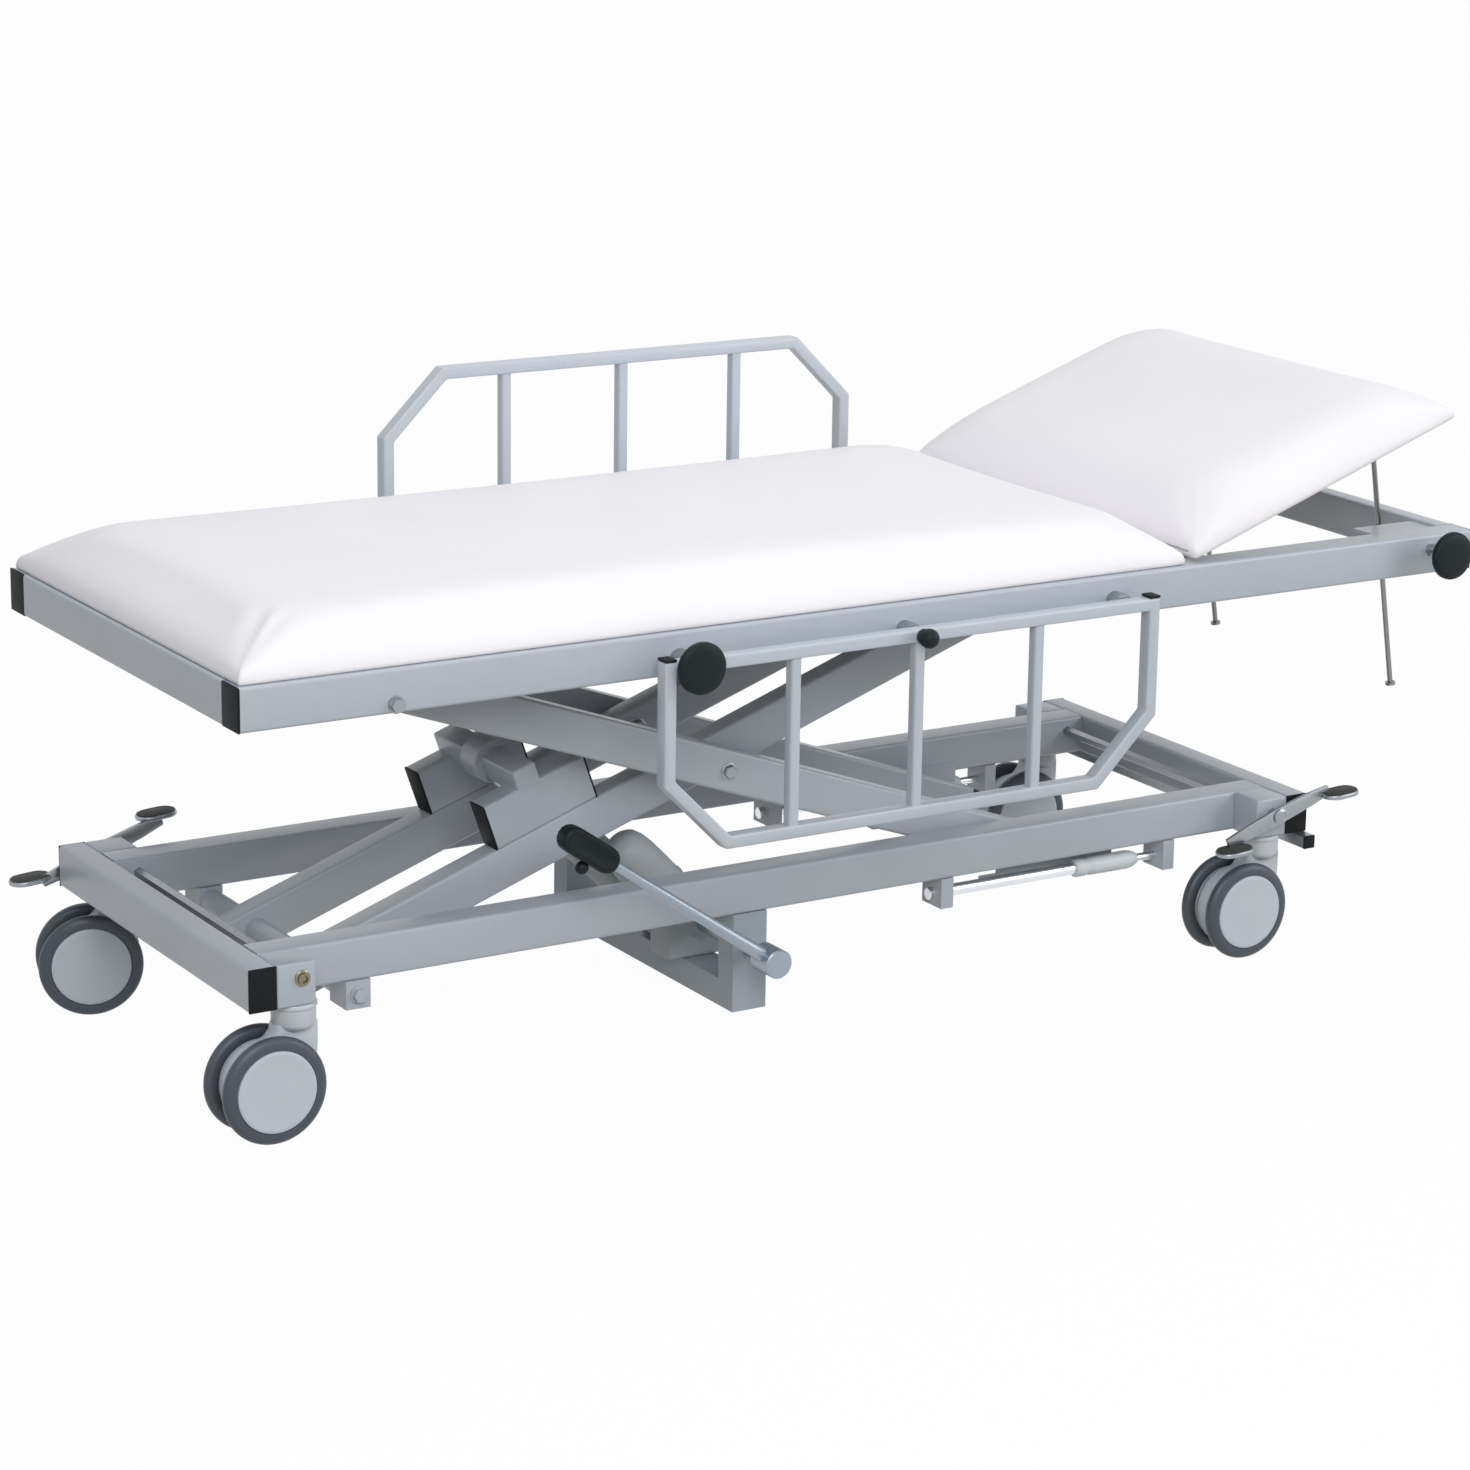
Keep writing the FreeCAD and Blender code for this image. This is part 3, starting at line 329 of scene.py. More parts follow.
class Bench:
    """The maker's bench: primitives, edit operators and modifiers, one piece at a time."""

    @staticmethod
    def clear() -> None:
        """Leave edit mode with nothing selected."""
        if bpy.context.object and bpy.context.object.mode != "OBJECT":
            bpy.ops.object.mode_set(mode="OBJECT")
        bpy.ops.object.select_all(action="DESELECT")

    @staticmethod
    def take(piece: Piece) -> None:
        """Select one piece alone and make it active.

        Args:
            piece: The piece to work on.
        """
        Bench.clear()
        piece.select_set(True)
        bpy.context.view_layer.objects.active = piece

    @staticmethod
    def edit(piece: Piece, kind: str = "FACE", action: str = "SELECT") -> None:
        """Open a piece in edit mode.

        Args:
            piece: The piece to edit.
            kind: What is picked: EDGE or FACE.
            action: SELECT for all of it, DESELECT for none.
        """
        Bench.take(piece)
        bpy.ops.object.mode_set(mode="EDIT")
        bpy.ops.mesh.select_mode(type=kind)
        bpy.ops.mesh.select_all(action=action)

    @staticmethod
    def done() -> None:
        """Leave edit mode."""
        bpy.ops.object.mode_set(mode="OBJECT")

    @staticmethod
    def settle(piece: Piece) -> Piece:
        """Put a piece's place into its mesh.

        Args:
            piece: The piece that was moved, turned or scaled.

        Returns:
            The same piece.
        """
        Bench.take(piece)
        bpy.ops.object.transform_apply(location=True, rotation=True, scale=True)
        return piece

    @staticmethod
    def modifier(piece: Piece, kind: str, **values: object) -> None:
        """Add a modifier and apply it.

        Args:
            piece: The piece to change.
            kind: The modifier's type.
            **values: Its settings.
        """
        Bench.take(piece)
        made = piece.modifiers.new(kind.lower(), kind)
        for key, value in values.items():
            setattr(made, key, value)
        bpy.ops.object.modifier_apply(modifier=made.name)

    @staticmethod
    def soften(piece: Piece, width: float, segments: int = 2) -> Piece:
        """Round the sharp edges.

        Args:
            piece: The piece to change.
            width: How wide the rounding is, in millimetres.
            segments: How many faces it has.

        Returns:
            The same piece.
        """
        Bench.modifier(piece, "BEVEL", width=width / 1000, segments=segments, limit_method="ANGLE",
                       angle_limit=math.radians(28), use_clamp_overlap=True, harden_normals=False)
        return Bench.smooth(piece)

    @staticmethod
    def smooth(piece: Piece, angle: float = 40) -> Piece:
        """Shade smooth where faces meet at less than an angle.

        Args:
            piece: The piece to shade.
            angle: The angle in degrees.

        Returns:
            The same piece.
        """
        Bench.take(piece)
        bpy.ops.object.shade_smooth_by_angle(angle=math.radians(angle))
        return piece

    @staticmethod
    def outward(piece: Piece) -> Piece:
        """Merge doubles and point the faces outwards.

        Args:
            piece: The piece to clean.

        Returns:
            The same piece.
        """
        Bench.edit(piece)
        bpy.ops.mesh.remove_doubles(threshold=0.00002)
        bpy.ops.mesh.normals_make_consistent(inside=False)
        Bench.done()
        return piece

    @staticmethod
    def pick_faces(piece: Piece, normal: Point, limit: float = 0.9) -> None:
        """Select the faces that point along a direction, and stay in edit mode.

        Args:
            piece: The piece to edit.
            normal: The direction.
            limit: The least cosine between a face's normal and the direction.
        """
        Bench.edit(piece, action="DESELECT")
        Bench.done()
        way = Vector(normal).normalized()
        for face in piece.data.polygons:
            face.select = face.normal.dot(way) > limit
        bpy.ops.object.mode_set(mode="EDIT")

    @staticmethod
    def block(name: str, low: Point, high: Point, edge: float = 1.5, segments: int = 2) -> Piece:
        """A block between two corners in millimetres, with rounded edges.

        Args:
            name: The piece's name.
            low: Its lowest corner.
            high: Its highest corner.
            edge: The edge radius in millimetres.
            segments: How many faces round each edge.

        Returns:
            The finished piece.
        """
        Bench.clear()
        corners = (spot(*low), spot(*high))
        bpy.ops.mesh.primitive_cube_add(size=1, location=(corners[0] + corners[1]) / 2)
        piece = bpy.context.object
        piece.name = name
        piece.scale = corners[1] - corners[0]
        Bench.settle(piece)
        return Bench.soften(piece, edge, segments) if edge else piece

    @staticmethod
    def tube(name: str, low: Point, high: Point, axis: int, radius: float = 5, wall: float = 2.5) -> Piece:
        """An open-ended rectangular tube with rounded corners.

        Args:
            name: The piece's name.
            low: Its lowest corner in millimetres.
            high: Its highest corner.
            axis: 0, 1 or 2 for the way it runs.
            radius: Outside corner radius.
            wall: Wall thickness.

        Returns:
            The finished tube.
        """
        piece = Bench.block(name, low, high, edge=0)
        along = [0.0, 0.0, 0.0]
        along[axis] = 1.0
        for sign in (1.0, -1.0):
            Bench.pick_faces(piece, [sign * part for part in along])
            bpy.ops.mesh.delete(type="ONLY_FACE")
        Bench.edit(piece, "EDGE", "DESELECT")
        Bench.done()
        points = piece.data.vertices
        for edge in piece.data.edges:
            way = points[edge.vertices[0]].co - points[edge.vertices[1]].co
            edge.select = abs(way.normalized().dot(Vector(along))) > 0.9
        bpy.ops.object.mode_set(mode="EDIT")
        bpy.ops.mesh.bevel(offset=radius / 1000, segments=4, affect="EDGES")
        Bench.done()
        Bench.modifier(piece, "SOLIDIFY", thickness=wall / 1000, offset=-1)
        return Bench.smooth(piece)

    @staticmethod
    def both(make: Callable[..., Piece], name: str, low: Point, high: Point, *rest: float,
             middle: float = 0.0) -> list[Piece]:
        """The same block or tube on the far side and on the near side.

        Args:
            make: Bench.block or Bench.tube.
            name: The pieces' name.
            low: X, distance from the middle and Z of the first corner, in millimetres.
            high: The same for the opposite corner.
            *rest: What else the maker takes.
            middle: The Y that the two lie about.

        Returns:
            The two pieces.
        """
        made = []
        for sign in SIDES:
            edges = sorted((sign * low[1] + middle, sign * high[1] + middle))
            made.append(make(name, (low[0], edges[0], low[2]), (high[0], edges[1], high[2]), *rest))
        return made

    @staticmethod
    def turned(name: str, profile: Outline, start: Point, way: Point, steps: int = 48) -> Piece:
        """A turned piece: rings of (radius, distance along) drawn out from a disc.

        Args:
            name: The piece's name.
            profile: Radius and distance from the start, in millimetres.
            start: Where distance 0 lies.
            way: The direction the distance runs.
            steps: How many sides round.

        Returns:
            The finished piece.
        """
        Bench.clear()
        radius, along = profile[0]
        bpy.ops.mesh.primitive_circle_add(vertices=steps, radius=radius / 1000, fill_type="NGON",
                                          location=(0, 0, along / 1000))
        piece = bpy.context.object
        piece.name = name
        Bench.settle(piece)
        Bench.edit(piece)
        for wide, far in profile[1:]:
            bpy.ops.mesh.extrude_region_move(
                TRANSFORM_OT_translate={"value": (0, 0, (far - along) / 1000)})
            share = wide / radius
            if abs(share - 1) > 1e-6:
                bpy.ops.transform.resize(value=(share, share, 1), center_override=(0, 0, far / 1000))
            radius, along = wide, far
        Bench.done()
        Bench.outward(piece)
        piece.matrix_world = Matrix.Translation(spot(*start)) @ Vector((0, 0, 1)).rotation_difference(
            Vector(way)).to_matrix().to_4x4()
        Bench.settle(piece)
        return Bench.smooth(piece)

    @staticmethod
    def rod(name: str, start: Point, end: Point, radius: float, edge: float = 1.0, steps: int = 32) -> Piece:
        """A round bar with chamfered rims.

        Args:
            name: The piece's name.
            start: The middle of one end, in millimetres.
            end: The middle of the other end.
            radius: The bar's radius.
            edge: The chamfer.
            steps: How many sides round.

        Returns:
            The finished bar.
        """
        way = Vector(end) - Vector(start)
        far = way.length
        profile = [(radius - edge, 0), (radius, edge), (radius, far - edge), (radius - edge, far)]
        return Bench.turned(name, profile, start, way, steps)

    @staticmethod
    def bolt(name: str, start: Point, way: Point, flats: float, thick: float) -> Piece:
        """A hexagon head with a chamfered crown and a washer under it.

        Args:
            name: The piece's name.
            start: Where the head sits, in millimetres.
            way: The direction it faces.
            flats: Its width across flats.
            thick: Its height.

        Returns:
            The head and washer as one piece.
        """
        corner = flats / math.sqrt(3)
        head = Bench.turned(name, [(corner, 0), (corner, thick * 0.8), (corner * 0.86, thick)], start, way, 6)
        rim = [(corner * 1.12, 0), (corner * 1.18, 0.6), (corner * 1.18, 1.6), (corner * 1.12, 2.0)]
        return Bench.joined(name, [head, Bench.turned(name + "_washer", rim, start, way, 32)])

    @staticmethod
    def joined(name: str, parts: Iterable[Piece]) -> Piece:
        """Join pieces into one object, as separate shells.

        Args:
            name: The new piece's name.
            parts: The pieces.

        Returns:
            The joined piece.
        """
        parts = list(parts)
        Bench.clear()
        for part in parts:
            part.select_set(True)
        bpy.context.view_layer.objects.active = parts[0]
        if len(parts) > 1:
            bpy.ops.object.join()
        parts[0].name = name
        return parts[0]

    @staticmethod
    def copied(piece: Piece, name: str) -> Piece:
        """A copy with its own mesh.

        Args:
            piece: The piece to copy.
            name: The copy's name.

        Returns:
            The copy.
        """
        Bench.take(piece)
        bpy.ops.object.duplicate(linked=False)
        made = bpy.context.object
        made.name = name
        return made

    @staticmethod
    def turned_by(piece: Piece, axis: Point, degrees: float, about: Point) -> Piece:
        """Turn a piece about an axis.

        Args:
            piece: The piece to turn.
            axis: The axis's direction.
            degrees: How far.
            about: A place on the axis, in millimetres.

        Returns:
            The same piece.
        """
        centre = Matrix.Translation(spot(*about))
        piece.matrix_world = centre @ Matrix.Rotation(math.radians(degrees), 4, Vector(axis)) @ (
            centre.inverted()) @ piece.matrix_world
        return Bench.settle(piece)

    @staticmethod
    def moved(piece: Piece, x: float, y: float, z: float) -> Piece:
        """Move a piece by millimetres and give it back."""
        piece.location = Vector(piece.location) + Vector((x, y, z)) / 1000
        return Bench.settle(piece)

    @staticmethod
    def mirrored(piece: Piece, name: str) -> Piece:
        """A piece's mirror image across the bed's middle.

        Args:
            piece: The piece to copy.
            name: The copy's name.

        Returns:
            The mirrored copy.
        """
        made = Bench.copied(piece, name)
        made.scale[1] = -1
        Bench.settle(made)
        Bench.edit(made)
        bpy.ops.mesh.flip_normals()
        Bench.done()
        return made

    @staticmethod
    def flat(name: str, places: Sequence[Point]) -> Piece:
        """One flat face, left in edit mode with all of it selected.

        Args:
            name: The piece's name.
            places: Its corners in order, in millimetres.

        Returns:
            The face.
        """
        Bench.clear()
        bpy.ops.mesh.primitive_circle_add(vertices=len(places), radius=1, fill_type="NGON")
        piece = bpy.context.object
        piece.name = name
        for point, place in zip(piece.data.vertices, places):
            point.co = spot(*place)
        Bench.edit(piece)
        return piece

    @staticmethod
    def drawn(piece: Piece, x: float, y: float, z: float) -> Piece:
        """Extrude the selected face and leave edit mode.

        Args:
            piece: The piece in edit mode.
            x: How far along X, in millimetres.
            y: How far along Y.
            z: How far along Z.

        Returns:
            The closed piece, with sharp edges.
        """
        bpy.ops.mesh.extrude_region_move(TRANSFORM_OT_translate={"value": (x / 1000, y / 1000, z / 1000)})
        Bench.done()
        return Bench.outward(piece)

    @staticmethod
    def prism(name: str, corners: Outline, start: float, end: float) -> Piece:
        """A flat shape given as (x, z), drawn out along Y.

        Args:
            name: The piece's name.
            corners: The outline, in millimetres.
            start: The Y that it starts at.
            end: The Y that it ends at.

        Returns:
            The plain piece, with sharp edges.
        """
        return Bench.drawn(Bench.flat(name, [(x, start, z) for x, z in corners]), 0, end - start, 0)


def present(piece: Piece, body: str, finish: Finish, slot: str, *nodes: str) -> None:
    """Dress a piece, let it ride on its body and hide the CAD nodes it stands for.

    Args:
        piece: The finished piece.
        body: The body it moves with.
        finish: Its surface.
        slot: The record's material slot. Not used.
        *nodes: The CAD nodes that it replaces.
    """
    finish.dress(piece)
    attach(piece, body)
    if nodes:
        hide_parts(*nodes)
    LOG.info("%s rides on %s, %d faces", piece.name, body, len(piece.data.polygons))


@dataclass
class Studio:
    """The camera of the photograph, a pale floor and soft light.

    The focal length, centre and size are in the photograph's pixels, the angles in radians and the eye
    in millimetres. The floor lights the object by its bounce colour and shows the camera its white share
    over a shaded one, and the world lights it by its sky and glow. A lamp has its name, its place and
    size in metres, and its power in watts.
    """

    focal: float = 4158.74
    centre: tuple[float, float] = (865.25, 705.74)
    size: float = 1470.0
    yaw: float = 0.5792
    pitch: float = 0.2593
    roll: float = 0.0232
    eye: tuple[float, float, float] = (-2100.57, -5030.47, 1974.54)
    sensor: float = 36.0
    bounce: tuple[float, float, float, float] = (0.42, 0.41, 0.37, 1.0)
    shadow: tuple[float, float, float, float] = (0.95, 0.95, 0.95, 1.0)
    white: float = 0.965
    sky: tuple[float, float, float, float] = (0.9, 0.94, 1.0, 1.0)
    glow: float = 0.4
    aim: tuple[float, float, float] = (0.0, 0.0, 0.45)
    lamps: tuple[tuple[str, tuple[float, float, float], float, float], ...] = (
        ("key", (-1.9, -3.8, 3.1), 2.6, 104), ("top", (0.3, 0.2, 3.8), 3.2, 36),
        ("side", (3.4, -3.0, 2.2), 2.2, 60))

    def camera(self) -> None:
        """Set up the camera solved from the photograph's edges."""
        level = math.cos(self.pitch)
        forward = Vector((math.sin(self.yaw) * level, math.cos(self.yaw) * level, -math.sin(self.pitch)))
        right = Vector((math.cos(self.yaw), -math.sin(self.yaw), 0))
        up = right.cross(forward)
        side = right * math.cos(self.roll) + up * math.sin(self.roll)
        top = up * math.cos(self.roll) - right * math.sin(self.roll)
        data = bpy.data.cameras.new("camera")
        data.sensor_width = self.sensor
        data.sensor_fit = "HORIZONTAL"
        data.lens = self.focal / self.size * self.sensor
        data.shift_x = 0.5 - self.centre[0] / self.size
        data.shift_y = self.centre[1] / self.size - 0.5
        data.clip_end = 100
        made = bpy.data.objects.new("camera", data)
        bpy.context.collection.objects.link(made)
        turn = Matrix((side, top, -forward)).transposed().to_4x4()
        made.matrix_world = Matrix.Translation(spot(*self.eye)) @ turn
        bpy.context.scene.camera = made

    def floor(self) -> None:
        """A wide pale floor that shows white and keeps a faint shadow."""
        Bench.clear()
        bpy.ops.mesh.primitive_plane_add(size=60, location=(0, 0, -0.0005))
        plane = bpy.context.object
        plane.name = "floor"
        made = bpy.data.materials.new("floor")
        made.use_nodes = True
        nodes, links = made.node_tree.nodes, made.node_tree.links
        shader = nodes["Principled BSDF"]
        shader.inputs["Base Color"].default_value = self.bounce
        shader.inputs["Roughness"].default_value = 0.9
        white = nodes.new("ShaderNodeEmission")
        pale = nodes.new("ShaderNodeBsdfDiffuse")
        pale.inputs["Color"].default_value = self.shadow
        seen = nodes.new("ShaderNodeMixShader")
        seen.inputs["Fac"].default_value = self.white
        links.new(pale.outputs[0], seen.inputs[1])
        links.new(white.outputs[0], seen.inputs[2])
        links.new(self.background_ray(nodes, links), self.choice(nodes, links, shader, seen).inputs["Fac"])
        plane.data.materials.append(made)

    @staticmethod
    def background_ray(nodes: bpy.types.Nodes, links: bpy.types.NodeLinks) -> bpy.types.NodeSocket:
        """A mask of the rays that should see the white background.

        Args:
            nodes: The material's or the world's nodes.
            links: Their links.

        Returns:
            The mask's socket.
        """
        path = nodes.new("ShaderNodeLightPath")
        mask = path.outputs["Is Camera Ray"]
        for kind in ("Is Glossy Ray", "Is Transmission Ray"):
            either = nodes.new("ShaderNodeMath")
            either.operation = "MAXIMUM"
            links.new(mask, either.inputs[0])
            links.new(path.outputs[kind], either.inputs[1])
            mask = either.outputs[0]
        return mask

    @staticmethod
    def choice(nodes: bpy.types.Nodes, links: bpy.types.NodeLinks, lit: bpy.types.Node,
               seen: bpy.types.Node) -> bpy.types.Node:
        """Mix the surface that lights the object with the one the camera sees.

        Args:
            nodes: The material's or the world's nodes.
            links: Their links.
            lit: The shader that lights the object.
            seen: The shader the camera sees.

        Returns:
            The mix node, whose factor is still free.
        """
        mix = nodes.new("ShaderNodeMixShader")
        links.new(lit.outputs[0], mix.inputs[1])
        links.new(seen.outputs[0], mix.inputs[2])
        target = [node for node in nodes if node.type in ("OUTPUT_MATERIAL", "OUTPUT_WORLD")][0]
        links.new(mix.outputs[0], target.inputs["Surface"])
        return mix

    def light(self) -> None:
        """A pale world and three large soft lamps at a plain level."""
        world = bpy.data.worlds.new("studio")
        bpy.context.scene.world = world
        world.use_nodes = True
        nodes, links = world.node_tree.nodes, world.node_tree.links
        dim = nodes["Background"]
        dim.inputs["Color"].default_value = self.sky
        dim.inputs["Strength"].default_value = self.glow
        seen = nodes.new("ShaderNodeBackground")
        seen.inputs["Color"].default_value = (1, 1, 1, 1)
        links.new(self.background_ray(nodes, links), self.choice(nodes, links, dim, seen).inputs["Fac"])
        for name, place, size, power in self.lamps:
            lamp = bpy.data.lights.new(name, "AREA")
            lamp.shape = "SQUARE"
            lamp.size = size
            lamp.energy = power
            made = bpy.data.objects.new(name, lamp)
            bpy.context.collection.objects.link(made)
            made.location = place
            made.rotation_euler = (Vector(self.aim) - Vector(place)).to_track_quat("-Z", "Y").to_euler()

    def build(self) -> None:
        """Camera, floor and lamps."""
        self.camera()
        self.floor()
        self.light()
        bpy.context.scene.view_settings.view_transform = "Standard"


@dataclass
class Cushion:
    """A vinyl pad blown up a little by a cloth simulation, over a board pocket.

    All sizes are in millimetres. The top rises from the side's height to the full height over the
    border. What lies under the blend keeps its rim, and what lies under the held height stays down.
    """

    name: str
    start: float
    end: float
    base: float
    half: float = 380.0
    side: float = 27.0
    tall: float = 66.0
    border: float = 145.0
    curve: float = 2.6
    corner: float = 12.0
    slope: float = 0.0
    voxel: float = 12.0
    rounds: int = 12
    blend: tuple[float, float] = (13.0, 16.0)
    held: float = 6.0
    cap: float = 7.0
    frames: int = 20
    rim: tuple[float, float] = (9.7, 11.7)
    pocket_top: float = 12.0

    def crown(self, co: Vector) -> None:
        """Round the slab's corners in plan and draw its top up by the distance from the rim.

        Args:
            co: A point's place, which is changed.
        """
        lean = self.slope * min(1.0, max(0.0, (co.z * 1000 - self.base) / self.side))
        first, last = spot(self.start + lean, -self.half, 0), spot(self.end, self.half, 0)
        near = [co[axis] - first[axis] < last[axis] - co[axis] for axis in (0, 1)]
        gaps = [(co[axis] - first[axis] if near[axis] else last[axis] - co[axis]) * 1000 for axis in (0, 1)]
        inner = [max(0.0, self.corner - gap) for gap in gaps]
        reach = math.hypot(*inner)
        if reach > self.corner:
            for axis in (0, 1):
                step = (inner[axis] - inner[axis] * self.corner / reach) / 1000
                co[axis] += step if near[axis] else -step
                gaps[axis] += step * 1000
        rise = 1.0
        for gap in gaps:
            rise *= 1 - (1 - min(1.0, max(0.0, gap / self.border))) ** self.curve
        floor = self.base / 1000
        co.z = floor + (co.z - floor) * (1 + (self.tall / self.side - 1) * rise)

    def blank(self) -> Piece:
        """Make the starting shape: a slab with its top drawn up.

        Returns:
            The smoothed slab.
        """
        low = (self.start + 1, -self.half + 1, self.base)
        high = (self.end - 1, self.half - 1, self.base + self.side)
        piece = Bench.block(self.name, low, high, edge=0)
        foot = spot(self.start + 5, 0, self.base + 5)
        for point in piece.data.vertices:
            if point.co.x < foot.x and point.co.z > foot.z:
                point.co.x += self.slope / 1000
        Bench.outward(piece)
        Bench.soften(piece, 4, 3)
        Bench.modifier(piece, "REMESH", mode="VOXEL", voxel_size=self.voxel / 1000)
        for point in piece.data.vertices:
            self.crown(point.co)
        sharp = [point.co.copy() for point in piece.data.vertices]
        Bench.modifier(piece, "SMOOTH", factor=0.5, iterations=self.rounds)
        bottom, band = self.blend
        for point, old in zip(piece.data.vertices, sharp):
            share = min(1.0, max(0.0, (old.z - self.base / 1000 - bottom / 1000) / (band / 1000)))
            point.co = old.lerp(point.co, share)
        return piece

    def inflate(self, piece: Piece) -> None:
        """Blow the pad up under pressure, held along its foot, and cap the movement.

        Args:
            piece: The pad.
        """
        rest = [point.co.copy() for point in piece.data.vertices]
        floor = self.base / 1000
        still = floor + self.held / 1000
        held = piece.vertex_groups.new(name="held")
        held.add([i for i, co in enumerate(rest) if co.z < still], 1.0, "REPLACE")
        Bench.take(piece)
        cloth = piece.modifiers.new("cloth", "CLOTH")
        cloth.settings.effector_weights.gravity = 0
        cloth.point_cache.frame_start = 1
        cloth.point_cache.frame_end = self.frames
        for key, value in (("quality", 5), ("mass", 0.3), ("use_pressure", True),
                           ("uniform_pressure_force", 4), ("vertex_group_mass", "held"),
                           ("tension_stiffness", 15), ("compression_stiffness", 15),
                           ("bending_stiffness", 0.6)):
            setattr(cloth.settings, key, value)
        scene = bpy.context.scene
        for frame in range(1, self.frames + 1):
            scene.frame_set(frame)
        bpy.ops.object.modifier_apply(modifier="cloth")
        scene.frame_set(1)
        for point, old in zip(piece.data.vertices, rest):
            step = point.co - old
            if step.length > self.cap / 1000:
                point.co = old + step.normalized() * (self.cap / 1000)
            if old.z < still:
                point.co.z = floor
        piece.vertex_groups.clear()

    def pocket(self, piece: Piece) -> None:
        """Cut the room for the board out of the underside, leaving a rim that hides its edge.

        Args:
            piece: The pad.
        """
        long, wide = self.rim
        tool = Bench.block("pocket", (self.start + long, wide - self.half, self.base - 20),
                           (self.end - long, self.half - wide, self.base + self.pocket_top), edge=0)
        Bench.modifier(piece, "BOOLEAN", operation="DIFFERENCE", solver="EXACT", object=tool)
        bpy.data.objects.remove(tool, do_unlink=True)

    def build(self) -> Piece:
        """Make the whole pad, subdivided once and shaded smooth.

        Returns:
            The finished pad.
        """
        piece = self.blank()
        self.inflate(piece)
        Bench.modifier(piece, "SUBSURF", levels=1, render_levels=1)
        self.pocket(piece)
        return Bench.smooth(piece, 80)


@dataclass
class Bed:
    """The mattress and the raised headrest."""

    hinge: tuple[float, float, float] = (1499.0, 0.0, 632.0)
    tilt: float = 19.4
    top: float = 640.3
    seam: float = 1498.0
    gap: float = 9.0
    end: float = 2029.0

    def build(self) -> None:
        """Make both pads, the headrest's turned up about its hinge."""
        pad = Cushion("mattress_pad", 0, self.seam, self.top).build()
        present(pad, "bed", VINYL, "vinyl", "mattress")
        head = Cushion("headrest_pad", self.seam + self.gap, self.end, self.top, slope=self.gap).build()
        Bench.turned_by(head, (0, -1, 0), self.tilt, self.hinge)
        present(head, "back", VINYL, "vinyl", "headrest")


@dataclass
class UpperFrame:
    """Rails, crossbars and caps of the bed frame."""

    long: float = 2030.0
    half: float = 380.0
    wide: float = 50.0
    low: float = 580.0
    top: float = 640.0
    cap: float = 3.0
    bar: float = 30.0
    bars: tuple[float, ...] = (0.0, 595.0, 1204.0, 1530.0)

    def rails(self) -> None:
        """Two side rails with capped ends."""
        inner = self.half - self.wide
        rails = Bench.both(Bench.tube, "rail", (self.cap, self.half, self.low),
                           (self.long - self.cap, inner, self.top), 0)
        present(Bench.joined("bed_rails", rails), "bed", PAINT, "frame_paint", "upper_rails")
        caps = []
        for start in (0, self.long - self.cap):
            caps += Bench.both(Bench.block, "cap", (start, self.half, self.low),
                               (start + self.cap, inner, self.top), 1.4, 3)
        present(Bench.joined("bed_rail_caps", caps), "bed", BLACK, "black_plastic", "upper_end_caps")

    def crossbars(self) -> None:
        """Five tubes between the rails."""
        reach = self.half - self.wide
        bars = []
        for start in (*self.bars, self.long - self.bar):
            end = start + self.bar
            bars.append(Bench.tube("bar", (start, -reach, self.low), (end, reach, self.top), 1, 4))
        present(Bench.joined("bed_crossbars", bars), "bed", PAINT, "frame_paint", "upper_crossbars")

    def build(self) -> None:
        """All of the bed frame's tube."""
        self.rails()
        self.crossbars()


